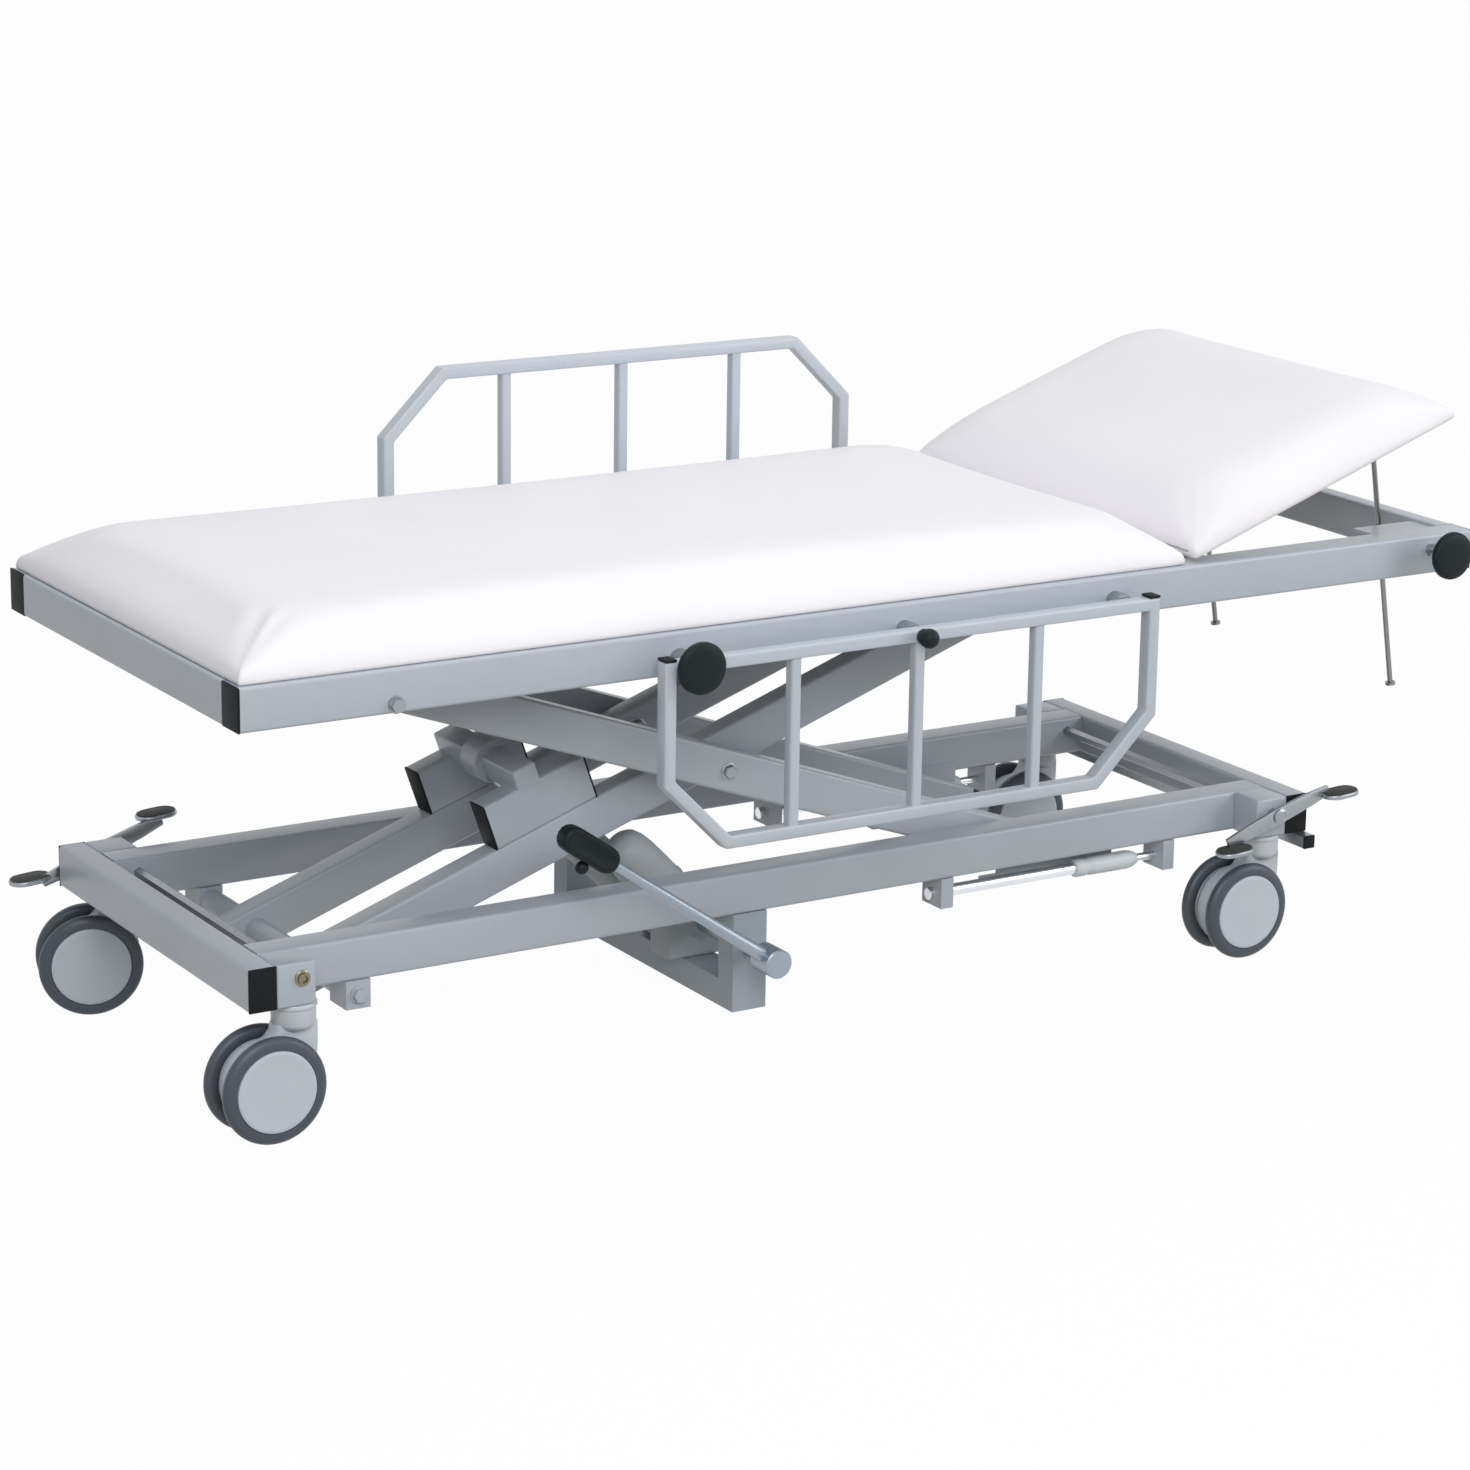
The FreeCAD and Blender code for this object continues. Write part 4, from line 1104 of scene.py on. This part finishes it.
@dataclass
class LowerFrame:
    """Rails, crossbars, caps, caster blocks and brass bolts of the wheeled frame."""

    start: float = 36.0
    end: float = 1786.0
    half: float = 320.0
    low: float = 184.0
    top: float = 244.0
    rail: float = 262.0
    wide: float = 50.0
    bar: float = 40.0
    block: float = 56.0
    cap: float = 3.0
    stop: tuple[float, float, float] = (1764.0, 345.0, 164.0)
    stop_bar: float = 20.0
    brakes: tuple[tuple[float, float], ...] = ((112.0, -1.0), (1718.0, 1.0))
    brake_height: float = 222.0

    def rails(self) -> None:
        """Side rails and crossbars."""
        rails = Bench.both(Bench.tube, "rail", (self.start + self.bar, self.rail, self.low),
                           (self.end - self.bar, self.rail - self.wide, self.top), 0)
        present(Bench.joined("base_rails", rails), "base", PAINT, "frame_paint", "lower_rails")
        bars = []
        for start in (self.start, self.end - self.bar):
            bars.append(Bench.tube("bar", (start, self.cap - self.half, self.low),
                                   (start + self.bar, self.half - self.cap, self.top), 1))
        present(Bench.joined("base_crossbars", bars), "base", PAINT, "frame_paint", "lower_crossbars")

    def caps(self) -> None:
        """Black caps on the crossbars and on the stop bar, and the bar itself."""
        parts = []
        for start in (self.start, self.end - self.bar):
            parts += Bench.both(Bench.block, "cap", (start, self.half, self.low),
                                (start + self.bar, self.half - self.cap, self.top), 1.2, 3)
        x, y, z = self.stop
        over, above = x + self.stop_bar, z + self.stop_bar
        parts += Bench.both(Bench.block, "cap", (x, y, z), (over, y - self.cap, above), 1.0, 2)
        present(Bench.joined("base_caps", parts), "base", BLACK, "black_plastic", "lower_end_caps")
        bar = Bench.tube("base_stop_bar", (x, self.cap - y, z), (over, y - self.cap, above), 1, 2, 2)
        present(bar, "base", STEEL, "steel", "stop_bar")

    def blocks(self) -> None:
        """Caster blocks at the four corners, with rounder edges than the tube, and the brass bolts."""
        parts = []
        for start in (self.start + self.bar, self.end - self.bar - self.block):
            parts += Bench.both(Bench.block, "corner", (start, self.half, self.low),
                                (start + self.block, self.rail, self.top), 3, 3)
        present(Bench.joined("base_corner_blocks", parts), "base", PAINT, "frame_paint", "caster_blocks")
        profile = [(11, 0), (11, 1.5), (9.6, 2.4), (8, 2.6), (7.4, 5.5), (5.4, 6), (4.4, 3.4), (2, 3.2)]
        bolts = []
        for x, sign in self.brakes:
            place = (x, sign * self.half, self.brake_height)
            bolts.append(Bench.turned("bush", profile, place, (0, sign, 0), 32))
        present(Bench.joined("brake_brass_bolts", bolts), "base", BRASS, "brass", "brake_bolts")

    def build(self) -> None:
        """The whole lower frame."""
        self.rails()
        self.caps()
        self.blocks()


@dataclass
class Guard:
    """A swing-over side guard of flat tube, its plugs, clamp knob and pivot pin."""

    side: str
    half: float = 408.0
    drop: float = 262.0
    above: float = 9.0
    bar: float = 18.0
    depth: float = 24.0
    face: float = 427.0
    corner: float = 98.0
    pivot: tuple[float, float, float] = (1002.0, 0.0, 603.0)
    uprights: tuple[float, ...] = (-201.0, 0.0, 201.0)
    upright: float = 16.0
    inset: float = 3.0
    clamp: float = 642.0

    def ring(self) -> Piece:
        """Bend the outline, inset it to leave the tube and draw it out to its depth.

        Returns:
            The ring, with sharp edges.
        """
        x, z = self.pivot[0], self.pivot[2]
        shape = [(-self.half, self.above), (-self.half, self.corner - self.drop),
                 (self.corner - self.half, -self.drop)]
        shape += [(-across, up) for across, up in reversed(shape)]
        piece = Bench.flat("guard", [(x + across, -self.face, z + up) for across, up in shape])
        bpy.ops.mesh.inset(thickness=self.bar / 1000, depth=0)
        bpy.ops.mesh.delete(type="FACE")
        bpy.ops.mesh.select_all(action="SELECT")
        return Bench.drawn(piece, 0, self.depth, 0)

    def frame(self) -> Piece:
        """Add the three upright bars to the ring.

        Returns:
            The guard without its fittings.
        """
        parts = [Bench.soften(self.ring(), 3.2, 3)]
        half = self.upright / 2
        front, back = self.inset - self.face, self.depth - self.inset - self.face
        bottom, top = self.pivot[2] - self.drop + self.bar - 1, self.pivot[2] + self.above - self.bar + 1
        for middle in self.uprights:
            x = self.pivot[0] + middle
            parts.append(Bench.tube("upright", (x - half, front, bottom), (x + half, back, top), 2, 3.5, 1.8))
        return Bench.joined("guard", parts)

    def plugs(self) -> Piece:
        """Make the two flat black plugs on the posts.

        Returns:
            Both as one piece.
        """
        parts = []
        low = self.pivot[2] + self.above
        for start in (self.pivot[0] - self.half, self.pivot[0] + self.half - self.bar):
            parts.append(Bench.block("plug", (start, -self.face, low),
                                     (start + self.bar, self.depth - self.face, low + 4), 1.8, 3))
        return Bench.joined("plugs", parts)

    def knob(self) -> Piece:
        """The round clamp knob with its finger ridge and stem."""
        return Fittings.knob("knob", (self.clamp, -self.face - 0.3, self.pivot[2]), self.depth - 1)

    def pin(self) -> Piece:
        """Make the ball of the pivot pin with its stem.

        Returns:
            Both as one piece.
        """
        x, z = self.pivot[0], self.pivot[2]
        ball = Bench.turned("pin", [(3, 3), (7.5, 0.9), (11, 4.4), (13.3, 9.2), (14, 14), (13.3, 18.8),
                                    (11, 23.2), (7.5, 26.6), (3, 28)],
                            (x, -self.face - 2.5, z), (0, -1, 0), 32)
        stem = Bench.rod("stem", (x, 10 + self.depth - self.face, z), (x, -self.face - 6, z), 3, 0.5, 16)
        return Bench.joined("pin", [ball, stem])

    def build(self) -> None:
        """Make the guard hanging, then turn the far one half round its pivot."""
        for label, piece, body, finish in (("guard", self.frame(), "side", GUARD_PAINTED_LIGHT),
                                           ("guard_plugs", self.plugs(), "side", BLACK),
                                           ("guard_knob", self.knob(), "clamp", KNOB),
                                           ("guard_ball", self.pin(), "pin", KNOB)):
            name = "%s_%s_piece" % (label, self.side)
            if self.side == "far":
                made = Bench.mirrored(piece, name)
                bpy.data.objects.remove(piece, do_unlink=True)
                piece = Bench.turned_by(made, (0, 1, 0), 180, self.pivot)
            piece.name = name
            slot = "frame_paint" if finish is GUARD_PAINTED_LIGHT else "black_plastic"
            present(piece, "%s_%s" % (body, self.side), finish, slot, "%s_%s" % (label, self.side))


class Fittings:
    """Small parts that several sub-assemblies use."""

    @staticmethod
    def knob(name: str, start: Point, stem: float) -> Piece:
        """A round domed plastic knob facing -Y.

        Args:
            name: The piece's name.
            start: The middle of its back, in millimetres.
            stem: How far a stem reaches behind it, or 0 for none.

        Returns:
            The knob.
        """
        disc = Bench.turned(name, [(12, 0), (12.5, 4.5), (32, 5.5), (34.5, 6.6), (36, 9), (36, 14.5),
                                   (35, 16.8), (32, 18.6), (24, 19.9), (12, 20.8), (3, 21)],
                            start, (0, -1, 0), 64)
        parts = [disc]
        if stem:
            end = (start[0], start[1] + stem, start[2])
            parts.append(Bench.rod("stem", end, (start[0], start[1] - 2, start[2]), 4, 0.6, 16))
        return Bench.joined(name, parts)


@dataclass
class Scissor:
    """The crossed arms with their stubs, cross tube and bolts."""

    foot: tuple[float, float] = (221.0, 164.0)
    head: tuple[float, float] = (221.0, 592.0)
    run: float = 1214.0
    rise: float = 428.0
    tall: float = 60.0
    wide: float = 40.0
    beyond: float = 35.0
    inner: float = 120.0
    outer: float = 184.0
    stub: tuple[float, float] = (303.0, 466.0)
    stub_top: float = 98.0
    cap: float = 3.0
    push: tuple[float, float] = (377.0, 107.0)

    @property
    def length(self) -> float:
        """Pivot to roller."""
        return math.hypot(self.run, self.rise)

    @property
    def tilt(self) -> float:
        """The arms' slope at rest, in degrees."""
        return math.degrees(math.atan2(self.rise, self.run))

    @property
    def tube_middle(self) -> tuple[float, float]:
        """Where the cross tube's middle lies at rest, in X and Z."""
        slope, (along, above) = math.radians(self.tilt), self.push
        return (self.foot[0] + along * math.cos(slope) - above * math.sin(slope),
                self.foot[1] + along * math.sin(slope) + above * math.cos(slope))

    def up(self, piece: Piece) -> Piece:
        """Turn a piece made along the floor pivot's X into the rising arms' slope."""
        return Bench.turned_by(piece, (0, -1, 0), self.tilt, (self.foot[0], 0, self.foot[1]))

    def down(self, piece: Piece) -> Piece:
        """Turn a piece made along the bed pivot's X into the falling arms' slope."""
        return Bench.turned_by(piece, (0, 1, 0), self.tilt, (self.head[0], 0, self.head[1]))

    def arm(self, x: float, z: float, face: float, side: int) -> Piece:
        """One level arm tube with its far end cut away on the track's side.

        Args:
            x: The pivot's X.
            z: The pivot's Z.
            face: Distance of the outer face from the scissor's middle.
            side: 1 to cut the upper corner, -1 to cut the lower.

        Returns:
            The arm, still level.
        """
        piece = Bench.tube("arm", (x - self.beyond, -face, z - self.tall / 2),
                           (x + self.length + self.beyond, self.wide - face, z + self.tall / 2), 0)
        for point, normal in (((self.length - 36, 30), (0.42, 1.0)), ((self.length - 10, 18.5), (0.62, 1.0))):
            Bench.edit(piece)
            bpy.ops.mesh.bisect(plane_co=spot(x + point[0], 0, z + side * point[1]),
                                plane_no=Vector((normal[0], 0, side * normal[1])).normalized(),
                                clear_outer=True)
            Bench.done()
        return Bench.smooth(piece)

    def pair(self, name: str, x: float, z: float, face: float, side: int) -> Piece:
        """An arm and its mirror image, moved to the scissor's own middle.

        Args:
            name: The pair's name.
            x: The pivot's X.
            z: The pivot's Z.
            face: Distance of the outer face from the scissor's middle.
            side: 1 to cut the upper corner, -1 to cut the lower.

        Returns:
            Both arms as one piece, still level.
        """
        near = self.arm(x, z, face, side)
        far = Bench.mirrored(near, "far")
        return Bench.moved(Bench.joined(name, [near, far]), 0, SHIFT, 0)

    def arms(self) -> None:
        """Both pairs of arms."""
        inner = self.up(self.pair("inner_arm_tubes", *self.foot, self.inner, 1))
        present(inner, "lift_inner", PAINT, "frame_paint", "inner_arms")
        outer = self.down(self.pair("outer_arm_tubes", *self.head, self.outer, -1))
        present(outer, "lift_outer", PAINT, "frame_paint", "outer_arms")

    def stubs(self) -> None:
        """Short capped tubes on the inner arms, and the cross tube that the piston pushes."""
        x, z = self.foot
        first, last = x + self.stub[0], x + self.stub[1]
        low, high, deep = z + self.tall / 2, z + self.stub_top, self.inner - self.wide
        tubes = Bench.both(Bench.tube, "stub", (first, self.inner, low), (last, deep, high), 0, 4,
                           middle=SHIFT)
        present(self.up(Bench.joined("arm_stub_tubes", tubes)), "lift_inner", PAINT, "frame_paint",
                "arm_stubs")
        caps = []
        for start in (first - self.cap, last):
            caps += Bench.both(Bench.block, "cap", (start, self.inner, low), (start + self.cap, deep, high),
                               1.2, 3, middle=SHIFT)
        present(self.up(Bench.joined("arm_stub_caps", caps)), "lift_inner", BLACK, "black_plastic",
                "stub_caps")
        x, z = x + self.push[0], z + self.push[1]
        parts = [Bench.rod("middle", (x, SHIFT - 27, z), (x, SHIFT + 27, z), 20, 0.5, 48)]
        parts += Bench.both(Bench.block, "end", (x - 19, self.inner + 0.2, z - 19), (x + 19, 26, z + 18),
                            4, 4, middle=SHIFT)
        tube = Bench.joined("lift_cross_tube", parts)
        present(self.up(tube), "lift_inner", PAINT, "frame_paint", "lift_crosstube")

    def bolts(self) -> None:
        """The centre bolts with their spacers and nuts."""
        x, z = self.head
        middle = x + self.length / 2
        parts = []
        for sign in SIDES:
            places = [(middle, sign * y + SHIFT, z) for y in (self.outer, self.outer - self.wide,
                                                              self.inner + 0.3, self.inner - self.wide - 0.3)]
            parts.append(Bench.bolt("head", places[0], (0, sign, 0), 18, 8))
            parts.append(Bench.rod("spacer", places[1], places[2], 14, 0.8, 32))
            parts.append(Bench.bolt("nut", places[3], (0, -sign, 0), 24, 11))
        bolts = self.down(Bench.joined("centre_bolt_set", parts))
        present(bolts, "lift_outer", STEEL, "steel", "centre_bolts")

    def build(self) -> None:
        """Arms, stubs and bolts."""
        self.arms()
        self.stubs()
        self.bolts()


@dataclass
class Caster:
    """A twin wheel caster: neck, hood, tyres, discs and axle."""

    name: str
    x: float
    y: float
    turn: float
    trail: float = 42.0
    radius: float = 74.0
    cover: float = 60.0
    plate: float = 184.0

    def wheel(self, sign: float) -> tuple[Piece, Piece]:
        """One wheel: its tyre and its pale dished disc.

        Args:
            sign: Which side of the hood the wheel is on.

        Returns:
            The tyre and the disc.
        """
        hub = (self.x - self.trail, self.y, self.radius)
        r = self.radius
        tyre = Bench.turned("tyre", [(56, 22), (59, 20.4), (r - 7, 20.4), (r - 3.4, 22), (r - 1, 25),
                                     (r, 28.4), (r - 0.1, 31.6), (r - 1.4, 34.4), (r - 4.4, 37),
                                     (r - 8, 38.4), (r - 12, 39), (57.5, 39), (56.5, 37)],
                            hub, (0, sign, 0), 72)
        disc = Bench.turned("disc", [(15, 19), (19, 19.2), (22, 22.5), (51, 22.5), (53, 21), (56, 21),
                                     (56.6, 38), (56, 40), (53.5, 41), (51, 40.6), (20, 41.2), (4, 41.4)],
                            hub, (0, sign, 0), 72)
        return tyre, disc

    def hood(self) -> Piece:
        """Make the neck and the curved hood between the wheels.

        Returns:
            Both with their stem, as one piece.
        """
        x, y, r = self.x, self.y, self.cover
        neck = Bench.turned("neck", [(30.8, 0.1), (31.8, 1.5), (31.8, 5.5), (31, 6.8), (30.2, 7.5), (30, 9),
                                     (30, 27), (28.6, 31), (25.4, 35), (20, 38.5)],
                            (x, y, self.plate), (0, 0, -1), 48)
        outline = [(-28, 160), (-31, 146), (-40, 135)]
        for step in range(17):
            angle = math.radians(98 + 14 * step)
            outline.append((r * math.cos(angle) - self.trail, self.radius + r * math.sin(angle)))
        outline += [(24, 98), (28.5, 112), (29.5, 128), (29.5, 160)]
        shell = Bench.prism("shell", [(x + a, b) for a, b in outline], y - 17, y + 17)
        Bench.soften(shell, 7, 4)
        stem = Bench.rod("stem", (x, y, 150), (x, y, self.plate + 24), 9, 1, 24)
        return Bench.joined("hood_" + self.name, [neck, shell, stem])

    def build(self) -> None:
        """Make the caster along X, then swivel it."""
        tyres, discs = zip(*(self.wheel(sign) for sign in SIDES))
        hub = self.x - self.trail
        axle = Bench.rod("axle", (hub, self.y - 20, self.radius), (hub, self.y + 20, self.radius), 6, 0.5, 24)
        tyre = Bench.joined("tyres_" + self.name, tyres)
        disc = Bench.joined("discs_" + self.name, [*discs, axle])
        for piece, body, finish, slot, nodes in (
                (tyre, "roll_" + self.name, TYRE, "tyre", ["wheels_" + self.name]),
                (disc, "roll_" + self.name, DISC, "caster", []),
                (self.hood(), "swivel_" + self.name, HOOD, "caster", ["fork_" + self.name])):
            if self.turn:
                Bench.turned_by(piece, (0, 0, 1), self.turn, (self.x, self.y, 0))
            present(piece, body, finish, slot, *nodes)


@dataclass
class Pedal:
    """A brake pedal: hexagonal shaft, tapered bar and two formed treads with rubber pads."""

    end: str
    x: float
    sign: float
    tilt: float
    treads: tuple[tuple[float, float], tuple[float, float]]
    z: float = 222.0
    bar_side: float = 338.0
    tread_side: float = 346.0
    shaft_side: float = 341.0

    def plate(self, name: str, x: float, z: float, half: float, radius: float, thick: float) -> Piece:
        """A flat round-ended plate at the tread's own Y.

        Args:
            name: The piece's name.
            x: Its middle's X.
            z: Its lower face's Z.
            half: Half its length.
            radius: The radius of its ends.
            thick: Its thickness.

        Returns:
            The plate, with sharp edges.
        """
        shape = oblong(x, self.sign * self.tread_side, half, radius)
        return Bench.drawn(Bench.flat(name, [(px, py, z) for px, py in shape]), 0, 0, thick)

    def tread(self, along: float, above: float) -> tuple[Piece, Piece]:
        """One tread: a formed steel tray with a stepped rubber pad.

        Args:
            along: The tread's middle along the bar.
            above: Its height over the bar's middle.

        Returns:
            The tray and the pad.
        """
        x, z = self.x + along, self.z + above
        tray = Bench.soften(self.plate("tray", x, z - 4, 31, 20, 7), 2, 3)
        pad = self.plate("pad", x, z + 2.4, 29, 18.2, 1.8)
        Bench.pick_faces(pad, (0, 0, 1))
        for inward, upward in ((3, 1.2), (4, -0.8), (2, 0.8)):
            bpy.ops.mesh.inset(thickness=inward / 1000, depth=upward / 1000)
        Bench.done()
        pair = (tray, Bench.smooth(pad, 50))
        for piece in pair:
            Bench.turned_by(piece, (0, 1, 0), 0.8 * self.tilt, (x, 0, z))
        return pair

    def build(self) -> None:
        """The pedal made level, tilted about its shaft."""
        y = self.sign * self.bar_side
        shape = [(-100, -8), (-60, -11), (0, -13), (60, -11), (95, -8), (97, 7), (60, 11), (0, 13),
                 (-60, 11), (-102, 7)]
        outline = [(self.x + along, self.z + above) for along, above in shape]
        bar = Bench.soften(Bench.prism("bar", outline, y - 3, y + 3), 1.2, 2)
        trays, pads = zip(*(self.tread(along, above) for along, above in self.treads))
        steel = Bench.joined("pedal_bar", [bar, *trays])
        rubber = Bench.joined("pedal_%s_treads" % self.end, pads)
        for piece in (steel, rubber):
            Bench.turned_by(piece, (0, -1, 0), self.tilt, (self.x, 0, self.z))
        start = (self.x, self.sign * self.shaft_side, self.z)
        shaft = Bench.turned("shaft", [(8.08, 0), (8.08, 657)], start, (0, -self.sign, 0), 6)
        washer = Bench.turned("washer", [(11, 0), (12, 0.8), (12, 3), (8, 4.5), (7, 3), (4, 3)],
                              start, (0, self.sign, 0), 32)
        metal = Bench.joined("pedal_%s_metal" % self.end, [steel, shaft, washer])
        present(metal, "brake_" + self.end, STEEL, "steel", "pedal_" + self.end)
        present(rubber, "brake_" + self.end, RUBBER, "black_plastic")


@dataclass
class PumpLever:
    """The chrome lever with its hub, black grip and release knob."""

    x: float = 831.0
    y: float = -324.0
    z: float = 131.0
    hub_back: float = -300.0
    angle: float = 35.0
    reach: float = 310.0
    grip: float = 100.0
    grip_radius: float = 19.0
    release: float = 44.0

    def build(self) -> None:
        """Made pointing to the foot, then raised about the shaft."""
        tip = self.x - self.reach
        hub = Bench.turned("hub", [(19.5, 0), (21, 1.5), (21, 43), (19.2, 45), (12, 45.6), (3, 45.8)],
                           (self.x, self.hub_back, self.z), (0, -1, 0), 48)
        shaft = Bench.rod("shaft", (self.x, -92, self.z), (self.x, self.hub_back - 1, self.z), 10, 1)
        bar = Bench.turned("bar", [(6, 0), (7, 1), (7.4, 60), (8.4, 220), (10.2, 300), (10.6, 330),
                                   (9.6, 332)], (tip - 30, self.y, self.z), (1, 0, 0), 32)
        metal = Bench.joined("lever_metal", [hub, shaft, bar])
        outline = oblong(tip - self.grip / 2, self.z, self.grip / 2, self.grip_radius)
        grip = Bench.soften(Bench.prism("grip", outline, self.y - 14, self.y + 14), 6, 4)
        Bench.pick_faces(grip, (0, -1, 0), 0.995)
        for inward, forward in ((3, 0), (1.2, -1.4)):
            bpy.ops.mesh.inset(thickness=inward / 1000, depth=forward / 1000)
        Bench.done()
        ball = Bench.turned("ball", [(2, -6), (4, -7), (4, -17), (6.6, -19.6), (8.6, -22.8), (9.3, -26.4),
                                     (8.6, -30), (6.6, -33.2), (4, -35), (1.5, -35.8)],
                            (tip - self.release, self.y, self.z), (0, 0, 1), 32)
        for piece, name, body, finish, slot, node in (
                (metal, "lever_metal", "pump_lever", LEVER, "chrome", "lever"),
                (grip, "lever_grip_piece", "pump_lever", KNOB, "black_plastic", "lever_grip"),
                (ball, "release_knob_piece", "release", KNOB, "black_plastic", "release_knob")):
            Bench.turned_by(piece, (0, 1, 0), self.angle, (self.x, 0, self.z))
            piece.name = name
            present(piece, body, finish, slot, node)


@dataclass
class Pump:
    """The cast pump block, its reservoir, the tilting cylinder and the piston."""

    eye: tuple[float, float]
    x: float = 845.0
    z: float = 100.0
    side: float = -78.0
    tank: tuple[float, float] = (864.0, 97.0)
    lean: float = 43.0
    band: float = 118.0

    def cylinder(self) -> None:
        """Barrel with gland, collars and trunnion; the rod and its eye."""
        x, z = self.x, self.z
        way = (self.eye[0] - x, 0, self.eye[1] - z)
        tip = math.hypot(way[0], way[2])
        barrel = Bench.turned("barrel", [(22, 8), (27, 9), (30, 13), (30, 18), (33, 20), (33, 32), (30, 34),
                                         (30, 258), (34, 262), (34, 282), (31, 288), (24, 290), (16, 290)],
                              (x, SHIFT, z), way, 64)
        sleeve = Bench.rod("sleeve", (x, SHIFT - 32, z), (x, SHIFT + 32, z), 19, 1.5, 48)
        pin = Bench.rod("pin", (x, SHIFT - 46, z), (x, SHIFT + 46, z), 8, 1, 32)
        present(Bench.joined("pump_barrel", [barrel, sleeve, pin]), "cylinder", CAST, "cast", "pump_cylinder")
        rod = Bench.turned("pump_piston", [(14, 262), (15, 263), (15, tip - 50), (21, tip - 48),
                                           (21, tip - 28), (17, tip - 26)], (x, SHIFT, z), way, 48)
        present(rod, "piston", STEEL, "steel", "piston_rod")
        eye = Bench.turned("piston_eye", [(22.4, 0), (29.5, 0), (31, 1.5), (31, 42.5), (29.5, 44),
                                          (22.4, 44)], (self.eye[0], SHIFT - 22, self.eye[1]), (0, 1, 0), 64)
        present(eye, "piston", PAINT, "frame_paint")

    def body(self) -> None:
        """The lumpy casting with its reservoir and valve."""
        y = self.side + SHIFT
        block = Bench.block("block", (780, y - 26, 80), (884, y + 30, 142), 0)
        Bench.pick_faces(block, (0, 0, 1))
        bpy.ops.mesh.inset(thickness=0.009, depth=0.006)
        Bench.done()
        Bench.soften(block, 7, 4)
        lean, (x, z) = math.radians(self.lean), self.tank
        way = (-math.sin(lean), 0, math.cos(lean))
        tank = Bench.turned("tank", [(24, 20), (32, 26), (36, 46), (37.5, 80), (37, 150), (36, 186),
                                     (33.5, 206), (29, 219), (22, 226), (12, 230), (4, 231)],
                            (x, y, z), way, 48)
        band = Bench.turned("band", [(37.4, 0), (38.6, 1), (38.6, 5), (37.4, 6)],
                            (x + self.band * way[0], y, z + self.band * way[2]), way, 48)
        valve = Bench.turned("valve", [(16, 0), (15, 3), (14, 5), (14, 28), (12, 31), (7, 32), (7, 42),
                                       (5, 44)], (798, y + 6, 138), (0, 0, 1), 32)
        boss = Bench.turned("boss", [(20, 0), (18, 6), (16, 8), (12, 9)],
                            (self.x - 14, y - 26, 131), (0, -1, 0), 32)
        present(Bench.joined("pump_casting", [block, tank, band, valve, boss]), "base", CAST, "cast",
                "pump_body")

    def build(self) -> None:
        """Cylinder, piston and casting."""
        self.cylinder()
        self.body()


@dataclass
class Pole:
    """A telescoping infusion pole stowed along the lower rail."""

    side: str
    sign: float
    z: float = 157.0
    away: float = 237.0

    def build(self) -> None:
        """Chrome tube, grey clamp sleeve and thin inner tube."""
        y = self.sign * self.away
        chrome = [Bench.rod("outer", (1150, y, self.z), (1413, y, self.z), 9, 1),
                  Bench.rod("inner", (1520, y, self.z), (1592, y, self.z), 6, 1)]
        metal = Bench.joined("pole_%s_metal" % self.side, chrome)
        present(metal, "infusion_" + self.side, CHROME, "chrome", "pole_" + self.side)
        profile = [(10, 0), (12.6, 0.6), (13.6, 2.5), (13.6, 18), (12.2, 20), (12.2, 24), (13.6, 26),
                   (14, 40), (14, 96), (12.8, 104), (10.5, 110), (8.5, 114), (7, 115)]
        sleeve = Bench.turned("pole_%s_sleeve" % self.side, profile, (1411, y, self.z), (1, 0, 0), 40)
        present(sleeve, "infusion_" + self.side, SLEEVE, "caster")


class Carried:
    """CAD nodes that keep their shape and only get a finish."""

    FINISHES: dict[str, Finish] = {
        "upper_tracks": PAINT, "head_brackets": PAINT, "guard_fixings": STEEL, "upper_pivot_shaft": STEEL,
        "lower_pivot_shaft": PAINT, "mattress_board": BOARD, "headrest_board": BOARD,
        "headrest_brackets": STEEL, "support_struts": STRUT, "upper_rollers": STEEL, "lower_rollers": STEEL,
        "pivot_brackets": PAINT, "lower_tracks": PAINT, "pump_cradle": CRADLE, "pole_brackets": PAINT,
    }

    @classmethod
    def build(cls, nodes: dict[str, Piece]) -> None:
        """Give each carried-over node its finish.

        Args:
            nodes: The CAD nodes by name.
        """
        for name, finish in cls.FINISHES.items():
            finish.dress(nodes[name])
            LOG.info("%s keeps its CAD shape", name)


def head_knobs() -> None:
    """The two clamp knobs at the head end of the rails."""
    near = Fittings.knob("head_knob_near_piece", (1949, -418, 618), 0)
    far = Bench.mirrored(near, "head_knob_far_piece")
    present(near, "knob_near", KNOB, "black_plastic", "head_knob_near")
    present(far, "knob_far", KNOB, "black_plastic", "head_knob_far")


def main() -> None:
    """Load the frame, build every sub-assembly in order and log the pieces."""
    logging.basicConfig(level=logging.INFO, format="%(message)s")
    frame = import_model()
    Studio().build()
    Bed().build()
    UpperFrame().build()
    LowerFrame().build()
    for side in ("near", "far"):
        Guard(side).build()
    head_knobs()
    scissor = Scissor()
    scissor.build()
    Pump(scissor.tube_middle).build()
    PumpLever().build()
    for name, x, y, turn in (("near_foot", 112, -291, 0), ("near_head", 1718, -291, 0),
                             ("far_foot", 112, 291, -18), ("far_head", 1718, 291, 0)):
        Caster(name, x, y, turn).build()
    Pedal("head", 1718, -1, 17.5, ((-97, -12), (111, -11))).build()
    Pedal("foot", 112, 1, 20, ((-113, 9), (93, 8))).build()
    for side, sign in (("near", -1), ("far", 1)):
        Pole(side, sign).build()
    Carried.build(frame["nodes"])


if __name__ == "__main__":
    main()
